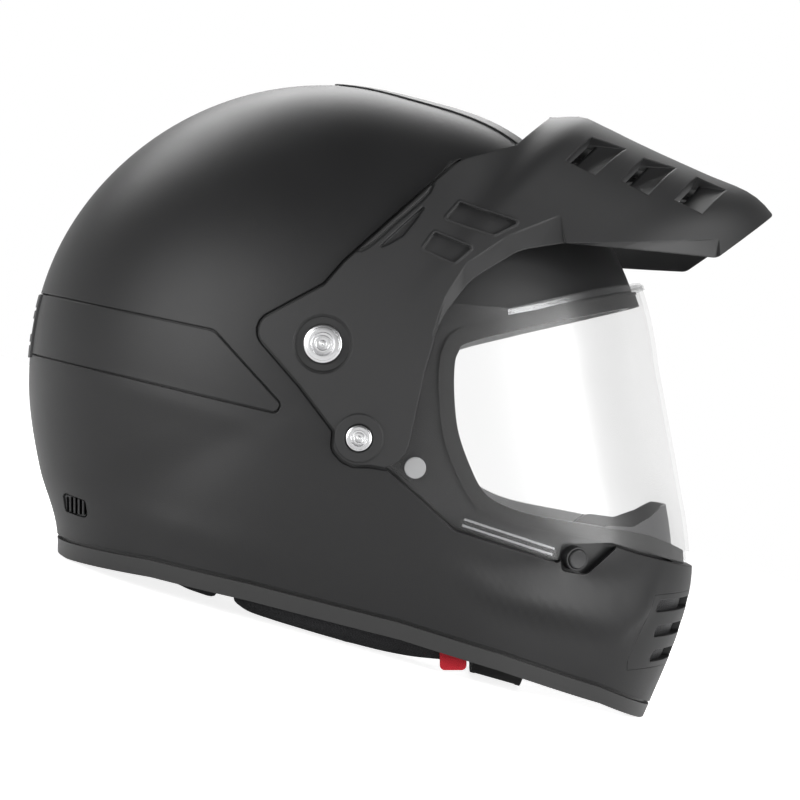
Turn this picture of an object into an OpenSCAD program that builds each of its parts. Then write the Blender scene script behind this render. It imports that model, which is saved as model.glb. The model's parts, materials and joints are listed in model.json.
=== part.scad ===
// Full face helmet with a bolted peak and a lifting shield.
// Every piece is drawn in the worn frame: the origin is on the shield pivot axis,
// X points forward, Y to the wearer's left and Z up. stand() then tips the helmet
// back on its base and puts the middle of its footprint on the floor.

/* [Shell] */
// Half width of the shell at the shield pivots
shell_half_w = 124; // [116:0.5:132]
// Wall of the outer shell
shell_t = 4; // [3:0.25:5]
// Squareness of the shell from side to side, 2 is a plain ellipse
fullness = 2.4; // [2.2:0.05:2.6]
// Depth of the inset rear panel
panel_t = 2.2; // [1.5:0.1:2.6]
// Open groove round the rear panel
panel_gap = 0.6; // [0.3:0.1:1.2]
// Rise of the crown fairing above the shell
fairing_t = 1.6; // [1:0.1:3]

/* [Base] */
// Height of the trim band along the base
trim_h = 10; // [7:0.5:13]
// Thickness of the trim band
trim_t = 8; // [6:0.5:9]
// Open groove between the shell and the trim band
trim_groove = 1; // [0.5:0.1:2]
// Angle between the worn attitude and standing on the floor
stand_tilt = 15.8; // [14:0.1:17]
// Depth of the flats where the base rests on the floor
rest_flat = 0.6; // [0.4:0.1:1.5]

/* [Shield] */
// Thickness of the clear shield
shield_t = 2.2; // [1.6:0.1:3]
// Depth of the shield's outer face below the shell at the pivots
shield_sink = 2.5; // [2:0.1:3.5]
// Clear space between the shield and the shell behind it
shield_gap = 2.6; // [2:0.1:3.5]
// Gap round the edge of the shield
shield_edge_gap = 1.3; // [1:0.1:2]
// How far the shield opens, in degrees
shield_open = 42; // [30:1:42]
// Radius of the shield's ear at the pivot
ear_r = 13; // [12:0.5:13]
// Radius of the pivot boss that the shield turns on
pivot_r = 5; // [4:0.25:6]
// Running clearance between the shield hub and its boss
pivot_clear = 0.05; // [0.02:0.01:0.1]
// Radius of the shield hub ring
hub_r = 10; // [9:0.25:11]
// Radius of the latch disc near the lower corner of the shield
latch_r = 5.2; // [4:0.1:6]
// Height of the grip rib on the lower edge of the shield
grip_h = 2.2; // [1.5:0.1:2.4]

/* [Shield lock] */
// Radius of the lock button
button_r = 4.8; // [4:0.1:5.5]
// Travel of the lock button
button_travel = 1.5; // [1:0.1:2]
// Running clearance between the button and its housing
button_clear = 0.05; // [0.03:0.01:0.1]
// Wall of the button housing
housing_wall = 1; // [0.8:0.1:1.4]

/* [Eye port] */
// Width of the gasket lip on the shell
gasket_lip = 5; // [3:0.5:6]
// Width of the gasket bead inside the port
gasket_bead = 4; // [2.5:0.5:5]
// Rise of the gasket lip above the shell
gasket_rise = 1.2; // [0.8:0.1:1.6]

/* [Peak] */
// Wall of the peak and its side arms
peak_t = 3; // [2.5:0.1:3.5]
// Clearance between the side arms and the shell
arm_gap = 0.3; // [0.2:0.1:0.6]
// Radius of the upper peak screw head
upper_head_r = 9; // [7:0.25:10]
// Radius of the dished seat round the upper screw
upper_seat_r = 14; // [12:0.5:15]
// Radius of the lower peak screw head
lower_head_r = 6.2; // [5:0.1:7]
// Radius of the raised boss round the lower screw
lower_boss_r = 11.5; // [9:0.25:12]
// Radius of the peak screw shanks
shank_r = 2.4; // [2:0.1:2.6]
// Radius of the threaded inserts in the shell
insert_r = 4; // [3.4:0.1:4.4]
// Rise of the scoop hoods on the peak
scoop_h = 4; // [2.5:0.25:6]

/* [Vents] */
// Height of each chin vent slot
chin_slot_h = 6; // [4:0.25:7]
// Pitch of the chin vent slots
chin_slot_pitch = 12.6; // [11:0.1:13.5]
// Rise of the rear grille above the shell
grille_rise = 0.6; // [0.4:0.1:1.5]
// Height of the rear grille fins
fin_h = 5.7; // [4.5:0.1:6.5]
// Height of the rear grille lips, above and below the fins
grille_lip_h = 6; // [5:0.1:6.5]
// Narrow gap between each lip and its fin
grille_crack = 1; // [0.6:0.1:1.4]
// Number of slits in each neck vent
neck_slits = 4; // [3:1:5]

/* [Lining] */
// Clearance between the shell and the foam liner
foam_gap = 0.3; // [0.3:0.1:0.8]
// Half width of the head room
room_half_w = 84; // [80:0.5:88]
// Thickness of the crown liner
crown_pad_t = 8; // [6:0.5:10]
// Gap between soft pieces and their neighbours
soft_gap = 0.4; // [0.3:0.1:0.8]
// Distance of the cheek pads' inner crown from the middle plane
cheek_in = 62; // [58:0.5:66]
// Thickness of the chin foam
chin_foam_t = 15; // [10:0.5:18]
// Thickness of the breath guard
guard_t = 2; // [1.4:0.1:2.2]

/* [Chin strap] */
// Width of the strap webbing
strap_w = 25; // [20:0.5:26]
// Thickness of the strap webbing
strap_t = 2; // [1.6:0.1:2.4]
// Radius of the D ring wire
ring_wire_r = 1.75; // [1.5:0.05:2]
// Inside length of a D ring
ring_len = 28; // [27:0.5:30]
// Reach of a D ring from its bar
ring_reach = 16; // [14:0.5:17]
// Running clearance of the ring bars in their loop
ring_clear = 0.05; // [0.03:0.01:0.1]
// Height of the ring loop's axis above the floor
ring_lift = 6.2; // [6:0.1:8]
// Radius of the strap anchor rivet heads
rivet_r = 6; // [5:0.25:6.5]

/* [Hidden] */

// Columns and rows of the large rounded surfaces, and of the head room
COLS = 36;
ROWS = 14;
HIDDEN_COLS = 28;
HIDDEN_ROWS = 10;
// Turn of the first column, which keeps the facets off the corners of round holes
FIRST_COL = 1.7;
// Half length of a cut right across the helmet, and of one that runs its whole length
ACROSS = 170;
ALONG = 300;
// Length of a bore right through the wall
BORE = 30;
// Overshoot of a cut past the face that it opens
PAST = 1;

// Side outlines as [angle from the front, radius] about the pivot
SHELL_OUTLINE = [
    [-180, 161.2], [-165, 161.3], [-152, 166], [-135, 203], [-120, 230], [-90, 238],
    [-65, 250], [-50, 231], [-44, 221.5], [-36, 211.5], [-30, 204.3], [-26, 198],
    [-10, 176], [8, 157.5], [22, 154.2], [57, 154], [75, 150.5], [92, 153.2],
    [112, 156.8], [134, 160], [155, 162]
];
SHIELD_OUTLINE = [
    [-180, 160.6], [-60, 235], [-35, 213], [-27.4, 198.9], [-22, 188.6], [-16.6, 178.9],
    [-9.3, 169.6], [-2.7, 164], [5, 160.6], [60, 160.6], [120, 160.6]
];
PEAK_OUTLINE = [
    [-180, 172], [-90, 180], [-30, 195], [0, 218], [10, 233], [18.6, 237], [24.3, 231.6],
    [30, 214.5], [35, 202.5], [40, 193.5], [45, 187], [48.4, 183], [53, 171.5],
    [60, 168], [75, 168], [100, 168], [140, 170]
];
ROOM_OUTLINE = [
    [-180, 112], [-150, 122], [-120, 165], [-90, 215], [-60, 220], [-35, 165], [0, 118],
    [30, 112], [60, 112], [90, 113], [120, 114], [150, 113]
];

// Side views as [x, z]: the line where the shell meets its base trim
BASE_LINE = [
    [-190, -66], [-141, -76], [-92, -83], [-43, -94], [28, -112.4], [76, -128],
    [126, -146.5], [152, -159], [190, -178]
];
SHIELD_SIDE = [
    [10, 9], [26, 21], [52, 38.6], [81, 36.4], [96, 40], [126, 47.2], [150, 51.4],
    [215, 63], [240, -109], [174, -90], [146, -82], [131, -77], [106.3, -77],
    [104.5, -85.1], [54.6, -68.8], [28.3, -45], [21.2, -38.7], [23, -26], [19, -14], [9, -9.5]
];
LOCK_NOTCH = [[106, -76], [107.5, -89], [118, -91], [132, -79], [132, -75]];
GRIP_SIDE = [[56, -68.5], [58, -63.5], [103, -78], [103.5, -84.2]];
PORT_SIDE = [
    [52, 8], [54, 16], [60, 22], [90, 29.5], [108, 33.5], [150, 42.5], [215, 56],
    [230, -98], [152, -77.4], [126, -71.8], [92, -65.5], [75, -59.5], [66, -52.5],
    [59.5, -40], [54, -24], [52, -8]
];
PANEL_SIDE = [
    [-190, 53], [-150, 45.8], [-117.4, 38.4], [-62.3, 26.6], [-58, 25], [-29, -8.5],
    [-28.2, -11.5], [-32.5, -13.9], [-67, -5.8], [-107, 3.8], [-150, 13.6], [-190, 22.5]
];
ARM_SIDE = [
    [-38.5, 30.5], [-41, 26], [-39, 20], [-19.1, -0.3], [-3, -22], [-2.7, -31], [1, -36],
    [6, -38.5], [14, -38.5], [21.2, -39.8], [27, -37.5], [31, -33], [33.1, -26.7],
    [40.2, 6.5], [47.3, 30.3], [61.7, 49.4], [85.8, 64.1], [107.5, 67.7], [144, 64.6],
    [183, 61.6], [219, 87], [216, 96], [203, 110], [112, 160], [104, 134.5], [85, 117],
    [57.4, 108.4], [37.9, 90.6], [2.2, 57.9], [-7.3, 46.9], [-33, 33]
];
GUARD_SIDE = [
    [118, -58], [139, -68], [152, -63], [163, -61], [200, -61], [200, -93], [118, -87]
];
CHIN_FOAM_SIDE = [[108, -87], [118, -87.5], [200, -93.5], [200, -160], [148, -146], [108, -131]];
// What the foam liner leaves free below it
LINER_CUT = [
    [-200, -60], [-130, -64], [-114, -65.2], [-100, -67.2], [-90, -70], [-80, -58],
    [-62, -10], [-50, -7], [ALONG, -7], [ALONG, -ALONG], [-200, -ALONG]
];
CROWN_PAD_SIDE = [
    [-118, 20], [-118, -2], [-80, -2], [-50, 14], [60, 30], [84, 40], [130, 44],
    [130, 140], [-140, 140]
];
NECK_VENT_SIDE = [[-139, -53], [-125.5, -57], [-124.5, -66], [-138, -63]];
// Plan of the crown fairing as [x, y] of its left edge
FAIRING_PLAN = [[-5, 12], [-2, 27], [30, 37], [98, 47], [112, 30]];

// Peak screws, pivot hardware, lock buttons and latch discs, as [x, z]
UPPER_SCREW = [-8.3, 18.9];
LOWER_SCREW = [8.8, -25.8];
LATCH_AT = [35.5, -40];
LOCK_AT = [114.2, -84.6];
// Peak scoops in the side view: first corner, step to the next, outline and mouth
SCOOP_AT = [109.3, 108.9];
SCOOP_STEP = [26.6, -9.35];
SCOOP_COUNT = 3;
SCOOP_SIDE = [[0, 0], [13.8, 13.6], [29.5, 8], [14, -6.9]];
SCOOP_MOUTH = [[2, 0.4], [13, 11.2], [17, 9.8], [6, -1.4]];

// Widths that follow from the shell
shield_half_w = shell_half_w - shield_sink;
core_half_w = shield_half_w - shield_t - shield_gap;
peak_half_w = shell_half_w + arm_gap + peak_t;
foam_in = shell_t + foam_gap;

// Worn to standing: the base points that can touch the floor
base_low = [for (p = BASE_LINE) if (norm(p) < star(SHELL_OUTLINE, atan2(p[1], p[0]))) stood(p - [0, trim_h])[1]];
floor_z = min(base_low) + rest_flat;
shell_rear = min([for (a = [150:2:210]) stood(polar(star(SHELL_OUTLINE, a), a))[0]]) - grille_rise;
shell_front = max([for (a = [-50:1:-20]) stood(polar(star(SHELL_OUTLINE, a), a))[0]]);
mid_x = (shell_rear + shell_front) / 2;

// Gap round a fixed piece in its seat, and the gap that keeps the flats of a hole off a round piece
fit_gap = 0.12;
facet_gap = 0.02;

// Flat floor of the pivot pocket and the faces that stack up from it
pocket_r = ear_r + 1;
pocket_sink = 1.2;
pocket_y = core_half_w - pocket_sink;
base_plate_t = 1.6;
plate_y = pocket_y + base_plate_t;
hub_lift = 0.3;
hub_y = plate_y + hub_lift;
hub_t = shield_half_w - hub_y;
boss_proud = 0.4;
boss_y = shield_half_w + boss_proud;
base_floor = 0.8;
pivot_head_t = 1.4;
pivot_head_r = hub_r - 2;
pivot_shank_r = pivot_r - 2.6;
socket_r = 2;
socket_t = 0.6;

// Latch disc: how far its face stands out, its thickness, and its pin
latch_proud = 0.5;
latch_t = 1.4;
latch_pin_r = latch_r / 2;
latch_pin_in = 0.8;

// Lock button stack, measured in from the shell's face
housing_r = button_r + button_clear + housing_wall;
housing_proud = -0.6;
housing_floor = 1;
button_len = 4.6;
button_proud = 0.6;
// Room left behind the button when it is pushed in
button_rest = 1.3;
housing_in = button_len - button_proud + button_travel + button_rest + housing_floor;
button_chamfer = 0.5;

// Peak screws: head thickness, its lower step, shoulder and dish, and how deep they sit
upper_head_t = 2.6;
lower_head_t = 2.4;
head_step = 0.6;
head_shoulder = 0.86;
head_dish = 0.58;
head_dish_t = 0.7;
upper_seat_sink = 1.2;
lower_seat_sink = 0.8;
lower_seat_gap = 0.6;
shank_gap = 0.3;
thread_gap = 0.05;
insert_sink = 1;
// Rise of the boss round the lower screw
boss_rise = 1.2;
upper_seat_y = peak_y(UPPER_SCREW) - upper_seat_sink;
lower_seat_y = peak_y(LOWER_SCREW) - lower_seat_sink;
screw_in_y = shell_y(LOWER_SCREW[0], LOWER_SCREW[1], -shell_t) + 0.2;

// Step that leaves the groove open above the trim band
trim_step = 1.5;

// Depth of the neck vents below the shell, and their slits
neck_sink = 0.4;
slit_w = 1.2;
slit_h = 8.5;
slit_low = -64;
slit_from = -136.5;
slit_span = 10;

// Chin vents
chin_slots = 3;
chin_divider = 12;
chin_slot_step = 5;
chin_side_wall = 2;
chin_rise = 0.5;
chin_top = -106.6;
chin_vent_w = 68;
chin_frame_margin = 3;
chin_low = chin_top - (chin_slots - 1) * chin_slot_pitch - chin_slot_h;
chin_back = 140;
chin_cut = 60;

// Wall of the woven mesh panels
mesh_t = 0.8;

// Rear grille, and the box behind which it is cut
grille_w = 38;
grille_top = 45.5;
grille_low = 14;
grille_side_t = 4;
rear_from = -200;
rear_cut = 100;

// Gaps round the foam liner, and the distance of the breath guard from the shell's inner face
liner_port_gap = 2;
liner_grille_gap = 2;
liner_lock_gap = 1;
chin_foam_gap = 1.2;
guard_gap = 1.4;

// Sewn channels of the crown liner
channel_y = 22;
channel_w = 3;
channel_depth = 3;
channel_from = -60;
channel_len = 130;

// Cheek pad: side outline about its own middle, as [angle, radius]
CHEEK_MID = [6, -88];
CHEEK_OUTLINE = [
    [-180, 60], [-163, 65], [-148, 64], [-125, 57], [-100, 51], [-75, 50], [-60, 54],
    [-45, 70], [-35, 70], [-15, 58], [0, 56], [35, 58], [60, 62], [90, 66], [120, 70], [150, 62]
];
cheek_out = trim_t + 1.6;
cheek_core_gap = shell_t + 4.6;
// How far the pad's inner face falls away at its edge, and the channel sewn down its middle
cheek_fall = 7;
cheek_channel_t = 2.5;
cheek_channel_w = 5;
// Lower edge of the shield's recess, as [x, z]
RECESS_LOW = [[-30, 40], [0, 10], [8, -14], [13, -42], [20, -48], [28, -54], [56, -74], [107, -90]];

// Neck roll: a padded rope round the back, with sewn channels across it
ROLL_MID = [-50, 0];
roll_x = 64;
roll_in = 36;
roll_y = shell_half_w - roll_in;
roll_half_t = 10;
roll_half_h = 13;
roll_turn = 84;
roll_channels = 4;
roll_pinch = 0.1;
roll_up = 1;
roll_drop = 7;
roll_drop_from = -100;
roll_drop_run = 36;

// Pull tab on the outer lower edge of the cheek pad
TAB_AT = [54, shell_half_w - 27.5, -130];
TAB_SIZE = [13, 1.2, 17];

// Chin strap, in a frame level with the floor whose origin is on the ring loop's axis
strap_at = 111.4;
loop_y = 19;
loop_wall = 1.4;
loop_r = 2 * ring_wire_r + ring_clear;
anchor_y = shell_half_w - 27.6;
anchor_up = 45;
anchor_at = worn([strap_at, floor_z + ring_lift + anchor_up]);
rivet_head_t = 2;
rivet_shank_r = rivet_r * 0.35;
rivet_washer_r = rivet_r * 0.6;
rivet_washer_t = 1;
rivet_clear = 0.1;
rivet_bite = 1.6;
// Where the rivet stops in the shell's wall
rivet_end_y = shell_y(anchor_at[0], anchor_at[1], 0) - shell_t + rivet_bite;
STRAP_LEFT = [
    [anchor_y, 52], [anchor_y, 39], [anchor_y - 3.9, 24], [anchor_y - 14.4, 12],
    [anchor_y - 38.4, 3.5], [38, 0], [22, 0]
];
// Height of the strap's flat end under the rings
strap_low = -2.2;
STRAP_RIGHT = [
    [-anchor_y, 52], [-anchor_y, 39], [3.4 - anchor_y, 23], [7.9 - anchor_y, 12],
    [13.4 - anchor_y, 1], [24.4 - anchor_y, -3.6], [-50, -3.4], [-32, strap_low], [-12, strap_low]
];
snap_y = -22;
snap_r = 6;
snap_t = 1.8;
// Radius of the D ring's round bow
ring_bow = 8;

function polar(r, a) = [r * cos(a), r * sin(a)];
function stood(p) = [
    p[0] * cos(stand_tilt) - p[1] * sin(stand_tilt),
    p[0] * sin(stand_tilt) + p[1] * cos(stand_tilt)
];
function worn(p) = [
    p[0] * cos(stand_tilt) + p[1] * sin(stand_tilt),
    p[1] * cos(stand_tilt) - p[0] * sin(stand_tilt)
];
function wrap(a) = a - 360 * floor((a + 180) / 360);

// Smooth closed curve through a side outline
function star(tab, angle) =
    let (
        n = len(tab),
        a = wrap(angle),
        i = max([for (k = [0:n - 1]) if (tab[k][0] <= a) k]),
        before = i == 0 ? tab[n - 1] - [360, 0] : tab[i - 1],
        from = tab[i],
        to = i == n - 1 ? tab[0] + [360, 0] : tab[i + 1],
        after = i >= n - 2 ? tab[i + 2 - n] + [360, 0] : tab[i + 2],
        span = to[0] - from[0],
        t = (a - from[0]) / span,
        m0 = (to[1] - before[1]) / (to[0] - before[0]) * span,
        m1 = (after[1] - from[1]) / (after[0] - from[0]) * span
    )
    (2 * t * t * t - 3 * t * t + 1) * from[1] + (t * t * t - 2 * t * t + t) * m0
        + (3 * t * t - 2 * t * t * t) * to[1] + (t * t * t - t * t) * m1;

// Column angles, even all round or closer together along the brim of the peak
function angles(cols) = [for (i = [0:cols - 1]) FIRST_COL + i * 360 / cols];
brim_angles = concat([for (a = [-38:5:67]) a + FIRST_COL], [for (a = [77:10:317]) a + FIRST_COL]);
function rim(tab, out, cols) = [for (a = angles(cols)) star(tab, a) + out];
// The recessed surface behind the shield
function core_radius(a) = min(star(SHELL_OUTLINE, a), star(SHIELD_OUTLINE, a) - shield_t - shield_gap);
function core_rim(out, cols) = [for (a = angles(cols)) core_radius(a) + out];

// Distance from the middle plane of a rounded surface at a side position
function side_y(radius, half_w, x, z) =
    half_w * pow(max(1 - pow(norm([x, z]) / radius, fullness), 0), 1 / fullness);
function shell_y(x, z, out) =
    side_y(star(SHELL_OUTLINE, atan2(z, x)) + out, shell_half_w + out, x, z);
function shield_y(x, z) = side_y(star(SHIELD_OUTLINE, atan2(z, x)), shield_half_w, x, z);

// Direction square to the shell at a side position, on the wearer's left
function shell_normal(x, z) =
    let (d = 0.5)
    unit([
        (shell_y(x - d, z, 0) - shell_y(x + d, z, 0)) / (2 * d),
        1,
        (shell_y(x, z - d, 0) - shell_y(x, z + d, 0)) / (2 * d)
    ]);
function unit(v) = v / norm(v);

// Height of the base line at a place along the helmet
function base_z(x) = lookup(x, BASE_LINE);

module stand() {
    translate([-mid_x, 0, -floor_z])
        rotate([0, -stand_tilt, 0])
            children();
}

// Cuts what lies below the floor when the helmet stands
module rest_cut() {
    difference() {
        children();
        rotate([0, stand_tilt, 0])
            translate([-ALONG, -ACROSS, floor_z - ALONG])
                cube([2 * ALONG, 2 * ACROSS, ALONG]);
    }
}

// A smooth surface made of small flat faces, worked out as one body
module moulded() {
    resize([0, 0, 0])
        children();
}

module both_sides() {
    children();
    mirror([0, 1, 0])
        children();
}

// Closed rounded body over a side outline, with its poles on the pivot axis
module lobe(radii, half_w, rows = ROWS, turned = []) {
    cols = len(radii);
    turn = len(turned) > 0 ? turned : angles(cols);
    e = 2 / fullness;
    step = 180 / rows;
    rings = [
        for (j = [1:rows - 1], i = [0:cols - 1])
            let (
                u = -90 + j * step,
                r = radii[i] * pow(cos(u), e),
                y = sign(u) * half_w * pow(abs(sin(u)), e)
            )
            [r * cos(turn[i]), y, r * sin(turn[i])]
    ];
    poles = [[0, -half_w, 0], [0, half_w, 0]];
    last = (rows - 2) * cols;
    low = len(rings);
    walls = [
        for (j = [0:rows - 3], i = [0:cols - 1])
            let (
                a = j * cols + i,
                b = j * cols + (i + 1) % cols
            )
            each [[a, b, b + cols], [a, b + cols, a + cols]]
    ];
    caps = [
        for (i = [0:cols - 1])
            each [
                [low, (i + 1) % cols, i],
                [low + 1, last + i, last + (i + 1) % cols]
            ]
    ];
    polyhedron(points = concat(rings, poles), faces = concat(walls, caps), convexity = 6);
}

// Body as wide as the helmet with a side view as its outline
module side_prism(points, grow = 0) {
    rotate([90, 0, 0])
        linear_extrude(height = 2 * ACROSS, center = true)
            offset(delta = grow)
                polygon(points);
}

// Everything on the wearer's left
module left_half() {
    translate([-ALONG, 0, -ALONG])
        cube(2 * ALONG);
}

module below_base(drop = 0) {
    line = [for (p = BASE_LINE) p - [0, drop]];
    side_prism(concat([[-ALONG, -ALONG], [-ALONG, line[0][1]]], line, [[ALONG, -ALONG]]));
}

// Everything that the shield passes through on its way up
module recess_prism(grow = 0) {
    rotate([90, 0, 0])
        linear_extrude(height = 2 * ACROSS, center = true)
            offset(delta = grow + shield_edge_gap) {
                for (a = [0:shield_open / 6:shield_open])
                    rotate(a)
                        polygon(SHIELD_SIDE);
                circle(r = ear_r, $fn = 32);
                polygon(LOCK_NOTCH);
            }
}

// The shell's outer form with the shield recess, moved in by a depth
module body_form(in = 0, cols = COLS, rows = ROWS) {
    difference() {
        lobe(rim(SHELL_OUTLINE, -in, cols), shell_half_w - in, rows);
        recess_prism(in);
    }
    lobe(core_rim(-in, cols), core_half_w - in, rows);
}

module shell_lobe(out) {
    lobe(rim(SHELL_OUTLINE, out, COLS), shell_half_w + out);
}

// The same form with the coarser facets of the shell's inner face
module shell_inner(out) {
    lobe(rim(SHELL_OUTLINE, out, HIDDEN_COLS), shell_half_w + out, HIDDEN_ROWS);
}

module core_inner(out) {
    lobe(core_rim(out, HIDDEN_COLS), core_half_w + out, HIDDEN_ROWS);
}

// Layers between two offsets from the shell's face, or from the recess behind the shield
module shell_layer(out, in) {
    difference() {
        shell_lobe(out);
        shell_lobe(-in);
    }
}

module shell_wall(out) {
    difference() {
        shell_lobe(out);
        shell_inner(-shell_t);
    }
}

module mesh_layer() {
    difference() {
        shell_inner(-shell_t);
        shell_inner(-shell_t - mesh_t);
    }
}

module core_layer(out, in) {
    difference() {
        lobe(core_rim(out, COLS), core_half_w + out);
        lobe(core_rim(-in, COLS), core_half_w - in);
    }
}

// Places a piece drawn along Z square to the shell, on the wearer's left
module on_shell(at, sink = 0) {
    n = shell_normal(at[0], at[1]);
    translate([at[0], shell_y(at[0], at[1], 0), at[1]] - sink * n)
        rotate([0, acos(n[2]), atan2(n[1], n[0])])
            children();
}

// Places a piece drawn along Z along the pivot axis, on the wearer's left
module along_y(at, y) {
    translate([at[0], y, at[1]])
        rotate([-90, 0, 0])
            children();
}

module chin_box(grow) {
    w = chin_vent_w + grow;
    translate([chin_back, -w, chin_low - grow])
        cube([chin_cut, 2 * w, chin_top - chin_low + 2 * grow]);
}

module grille_box(grow) {
    translate([rear_from, -grille_w - grow, grille_low - grow])
        cube([rear_cut, 2 * (grille_w + grow), grille_top - grille_low + 2 * grow]);
}

module outer_shell() {
    color("#26272a")
        moulded()
            rest_cut()
                difference() {
                    body_form(0);
                    body_form(shell_t, HIDDEN_COLS, HIDDEN_ROWS);
                    side_prism(PORT_SIDE);
                    below_base();
                    intersection() {
                        shell_layer(PAST, panel_t);
                        side_prism(PANEL_SIDE);
                    }
                    grille_box(0);
                    chin_box(chin_frame_margin);
                    strap_frame()
                        rivet_hole();
                    both_sides() {
                        for (at = [UPPER_SCREW, LOWER_SCREW])
                            along_y(at, shell_half_w - BORE / 2)
                                cylinder(r = insert_r + fit_gap, h = BORE, $fn = 24);
                        along_y([0, 0], pocket_y)
                            cylinder(r = pocket_r, h = BORE, $fn = 48);
                        on_shell(LOCK_AT, housing_in)
                            cylinder(r = housing_r + fit_gap, h = BORE, $fn = 32);
                        intersection() {
                            shell_layer(PAST, panel_t);
                            side_prism(NECK_VENT_SIDE);
                            left_half();
                        }
                    }
                }
}

module rear_panel() {
    color("#222326")
        moulded()
            difference() {
                intersection() {
                    shell_layer(0, panel_t);
                    side_prism(PANEL_SIDE, -panel_gap);
                }
                translate([rear_from, -grille_w - panel_gap, -ACROSS])
                    cube([rear_cut, 2 * (grille_w + panel_gap), 2 * ACROSS]);
            }
}

module rear_vent_grille() {
    middle = grille_top - grille_low - 2 * (grille_lip_h + grille_crack + fin_h);
    first = grille_low + grille_lip_h;
    second = first + grille_crack + fin_h;
    slots = [[first, grille_crack], [second, middle], [second + middle + fin_h, grille_crack]];
    color("#1b1c1e")
        moulded()
            difference() {
                intersection() {
                    shell_wall(grille_rise);
                    grille_box(0);
                }
                for (slot = slots)
                    translate([rear_from, -grille_w + grille_side_t, slot[0]])
                        cube([rear_cut, 2 * (grille_w - grille_side_t), slot[1]]);
            }
}

module rear_vent_mesh() {
    color("#3a3b3d")
        moulded()
            intersection() {
                mesh_layer();
                grille_box(0);
            }
}

module crown_fairing() {
    right_edge = [for (i = [len(FAIRING_PLAN) - 1:-1:0]) [FAIRING_PLAN[i][0], -FAIRING_PLAN[i][1]]];
    color("#202124")
        moulded()
            intersection() {
                shell_layer(fairing_t, 0);
                linear_extrude(height = ALONG)
                    polygon(concat(FAIRING_PLAN, right_edge));
            }
}

module base_trim() {
    color("#1a1b1c")
        moulded()
            rest_cut()
                union() {
                    difference() {
                        intersection() {
                            shell_lobe(0);
                            below_base(trim_groove);
                        }
                        shell_inner(-trim_t);
                        below_base(trim_h);
                    }
                    difference() {
                        intersection() {
                            shell_lobe(-trim_step);
                            below_base();
                        }
                        shell_inner(-trim_t);
                        below_base(trim_groove + PAST);
                    }
                }
}

module eye_port_gasket() {
    color("#151516")
        moulded()
            difference() {
                intersection() {
                    core_layer(gasket_rise, shell_t + fit_gap);
                    side_prism(PORT_SIDE, gasket_lip);
                }
                side_prism(PORT_SIDE, -gasket_bead);
                difference() {
                    core_layer(0, shell_t + PAST);
                    side_prism(PORT_SIDE);
                }
            }
}

module neck_vent() {
    color("#1b1c1e")
        moulded()
            difference() {
                intersection() {
                    shell_layer(-neck_sink, panel_t);
                    side_prism(NECK_VENT_SIDE);
                    left_half();
                }
                for (i = [0:neck_slits - 1])
                    translate([slit_from + i * slit_span / neck_slits, 0, slit_low])
                        cube([slit_w, ACROSS, slit_h]);
            }
}

module chin_vent_frame() {
    color("#1d1e20")
        moulded()
            difference() {
                intersection() {
                    shell_wall(chin_rise);
                    chin_box(chin_frame_margin);
                }
                for (i = [0:chin_slots - 1]) {
                    reach = chin_vent_w - chin_side_wall - chin_slot_step * i;
                    z = chin_top - i * chin_slot_pitch - chin_slot_h;
                    both_sides()
                        translate([chin_back, chin_divider, z])
                            cube([chin_cut, reach - chin_divider, chin_slot_h]);
                }
            }
}

module chin_vent_mesh() {
    color("#3a3b3d")
        moulded()
            intersection() {
                mesh_layer();
                chin_box(chin_frame_margin);
            }
}

module breath_guard() {
    color("#77787a")
        moulded()
            intersection() {
                difference() {
                    core_inner(-shell_t - guard_gap);
                    core_inner(-shell_t - guard_gap - guard_t);
                }
                side_prism(GUARD_SIDE);
            }
}

// Peak: one moulding from the side arms to the brim
function peak_radius(a) = max(star(PEAK_OUTLINE, a), star(SHELL_OUTLINE, a) + arm_gap + peak_t);
function peak_y(at) = side_y(peak_radius(atan2(at[1], at[0])), peak_half_w, at[0], at[1]);

module peak_form(out) {
    lobe([for (a = brim_angles) peak_radius(a) + out], peak_half_w + out, turned = brim_angles);
}

module each_scoop() {
    for (i = [0:SCOOP_COUNT - 1])
        translate([SCOOP_AT[0] + i * SCOOP_STEP[0], 0, SCOOP_AT[1] + i * SCOOP_STEP[1]])
            children();
}

module peak() {
    color("#232427")
        moulded()
            difference() {
                union() {
                    intersection() {
                        difference() {
                            peak_form(0);
                            peak_form(-peak_t);
                        }
                        side_prism(ARM_SIDE);
                    }
                    difference() {
                        intersection() {
                            peak_form(scoop_h);
                            each_scoop()
                                side_prism(SCOOP_SIDE);
                        }
                        peak_form(-PAST);
                    }
                    intersection() {
                        both_sides()
                            along_y(LOWER_SCREW, peak_half_w - BORE / 2)
                                cylinder(r = lower_boss_r, h = BORE, $fn = 40);
                        difference() {
                            peak_form(boss_rise);
                            peak_form(-peak_t);
                        }
                    }
                }
                each_scoop()
                    side_prism(SCOOP_MOUTH);
                both_sides() {
                    along_y(UPPER_SCREW, upper_seat_y)
                        cylinder(r = upper_seat_r, h = BORE, $fn = 48);
                    along_y(LOWER_SCREW, lower_seat_y)
                        cylinder(r = lower_head_r + lower_seat_gap, h = BORE, $fn = 40);
                    for (at = [UPPER_SCREW, LOWER_SCREW])
                        along_y(at, shell_half_w - BORE / 2)
                            cylinder(r = shank_r + shank_gap, h = BORE, $fn = 24);
                }
            }
}

// Machined screw with a stepped, dished head
module peak_screw(at, seat_y, head_r, head_t) {
    along_y(at, seat_y)
        difference() {
            union() {
                cylinder(r = head_r, h = head_t * head_step, $fn = 64);
                cylinder(r = head_r * head_shoulder, h = head_t, $fn = 64);
            }
            translate([0, 0, head_t - head_dish_t])
                cylinder(r = head_r * head_dish, h = head_t, $fn = 64);
        }
    along_y(at, screw_in_y)
        cylinder(r = shank_r, h = seat_y - screw_in_y + head_t / 4, $fn = 32);
}

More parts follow.
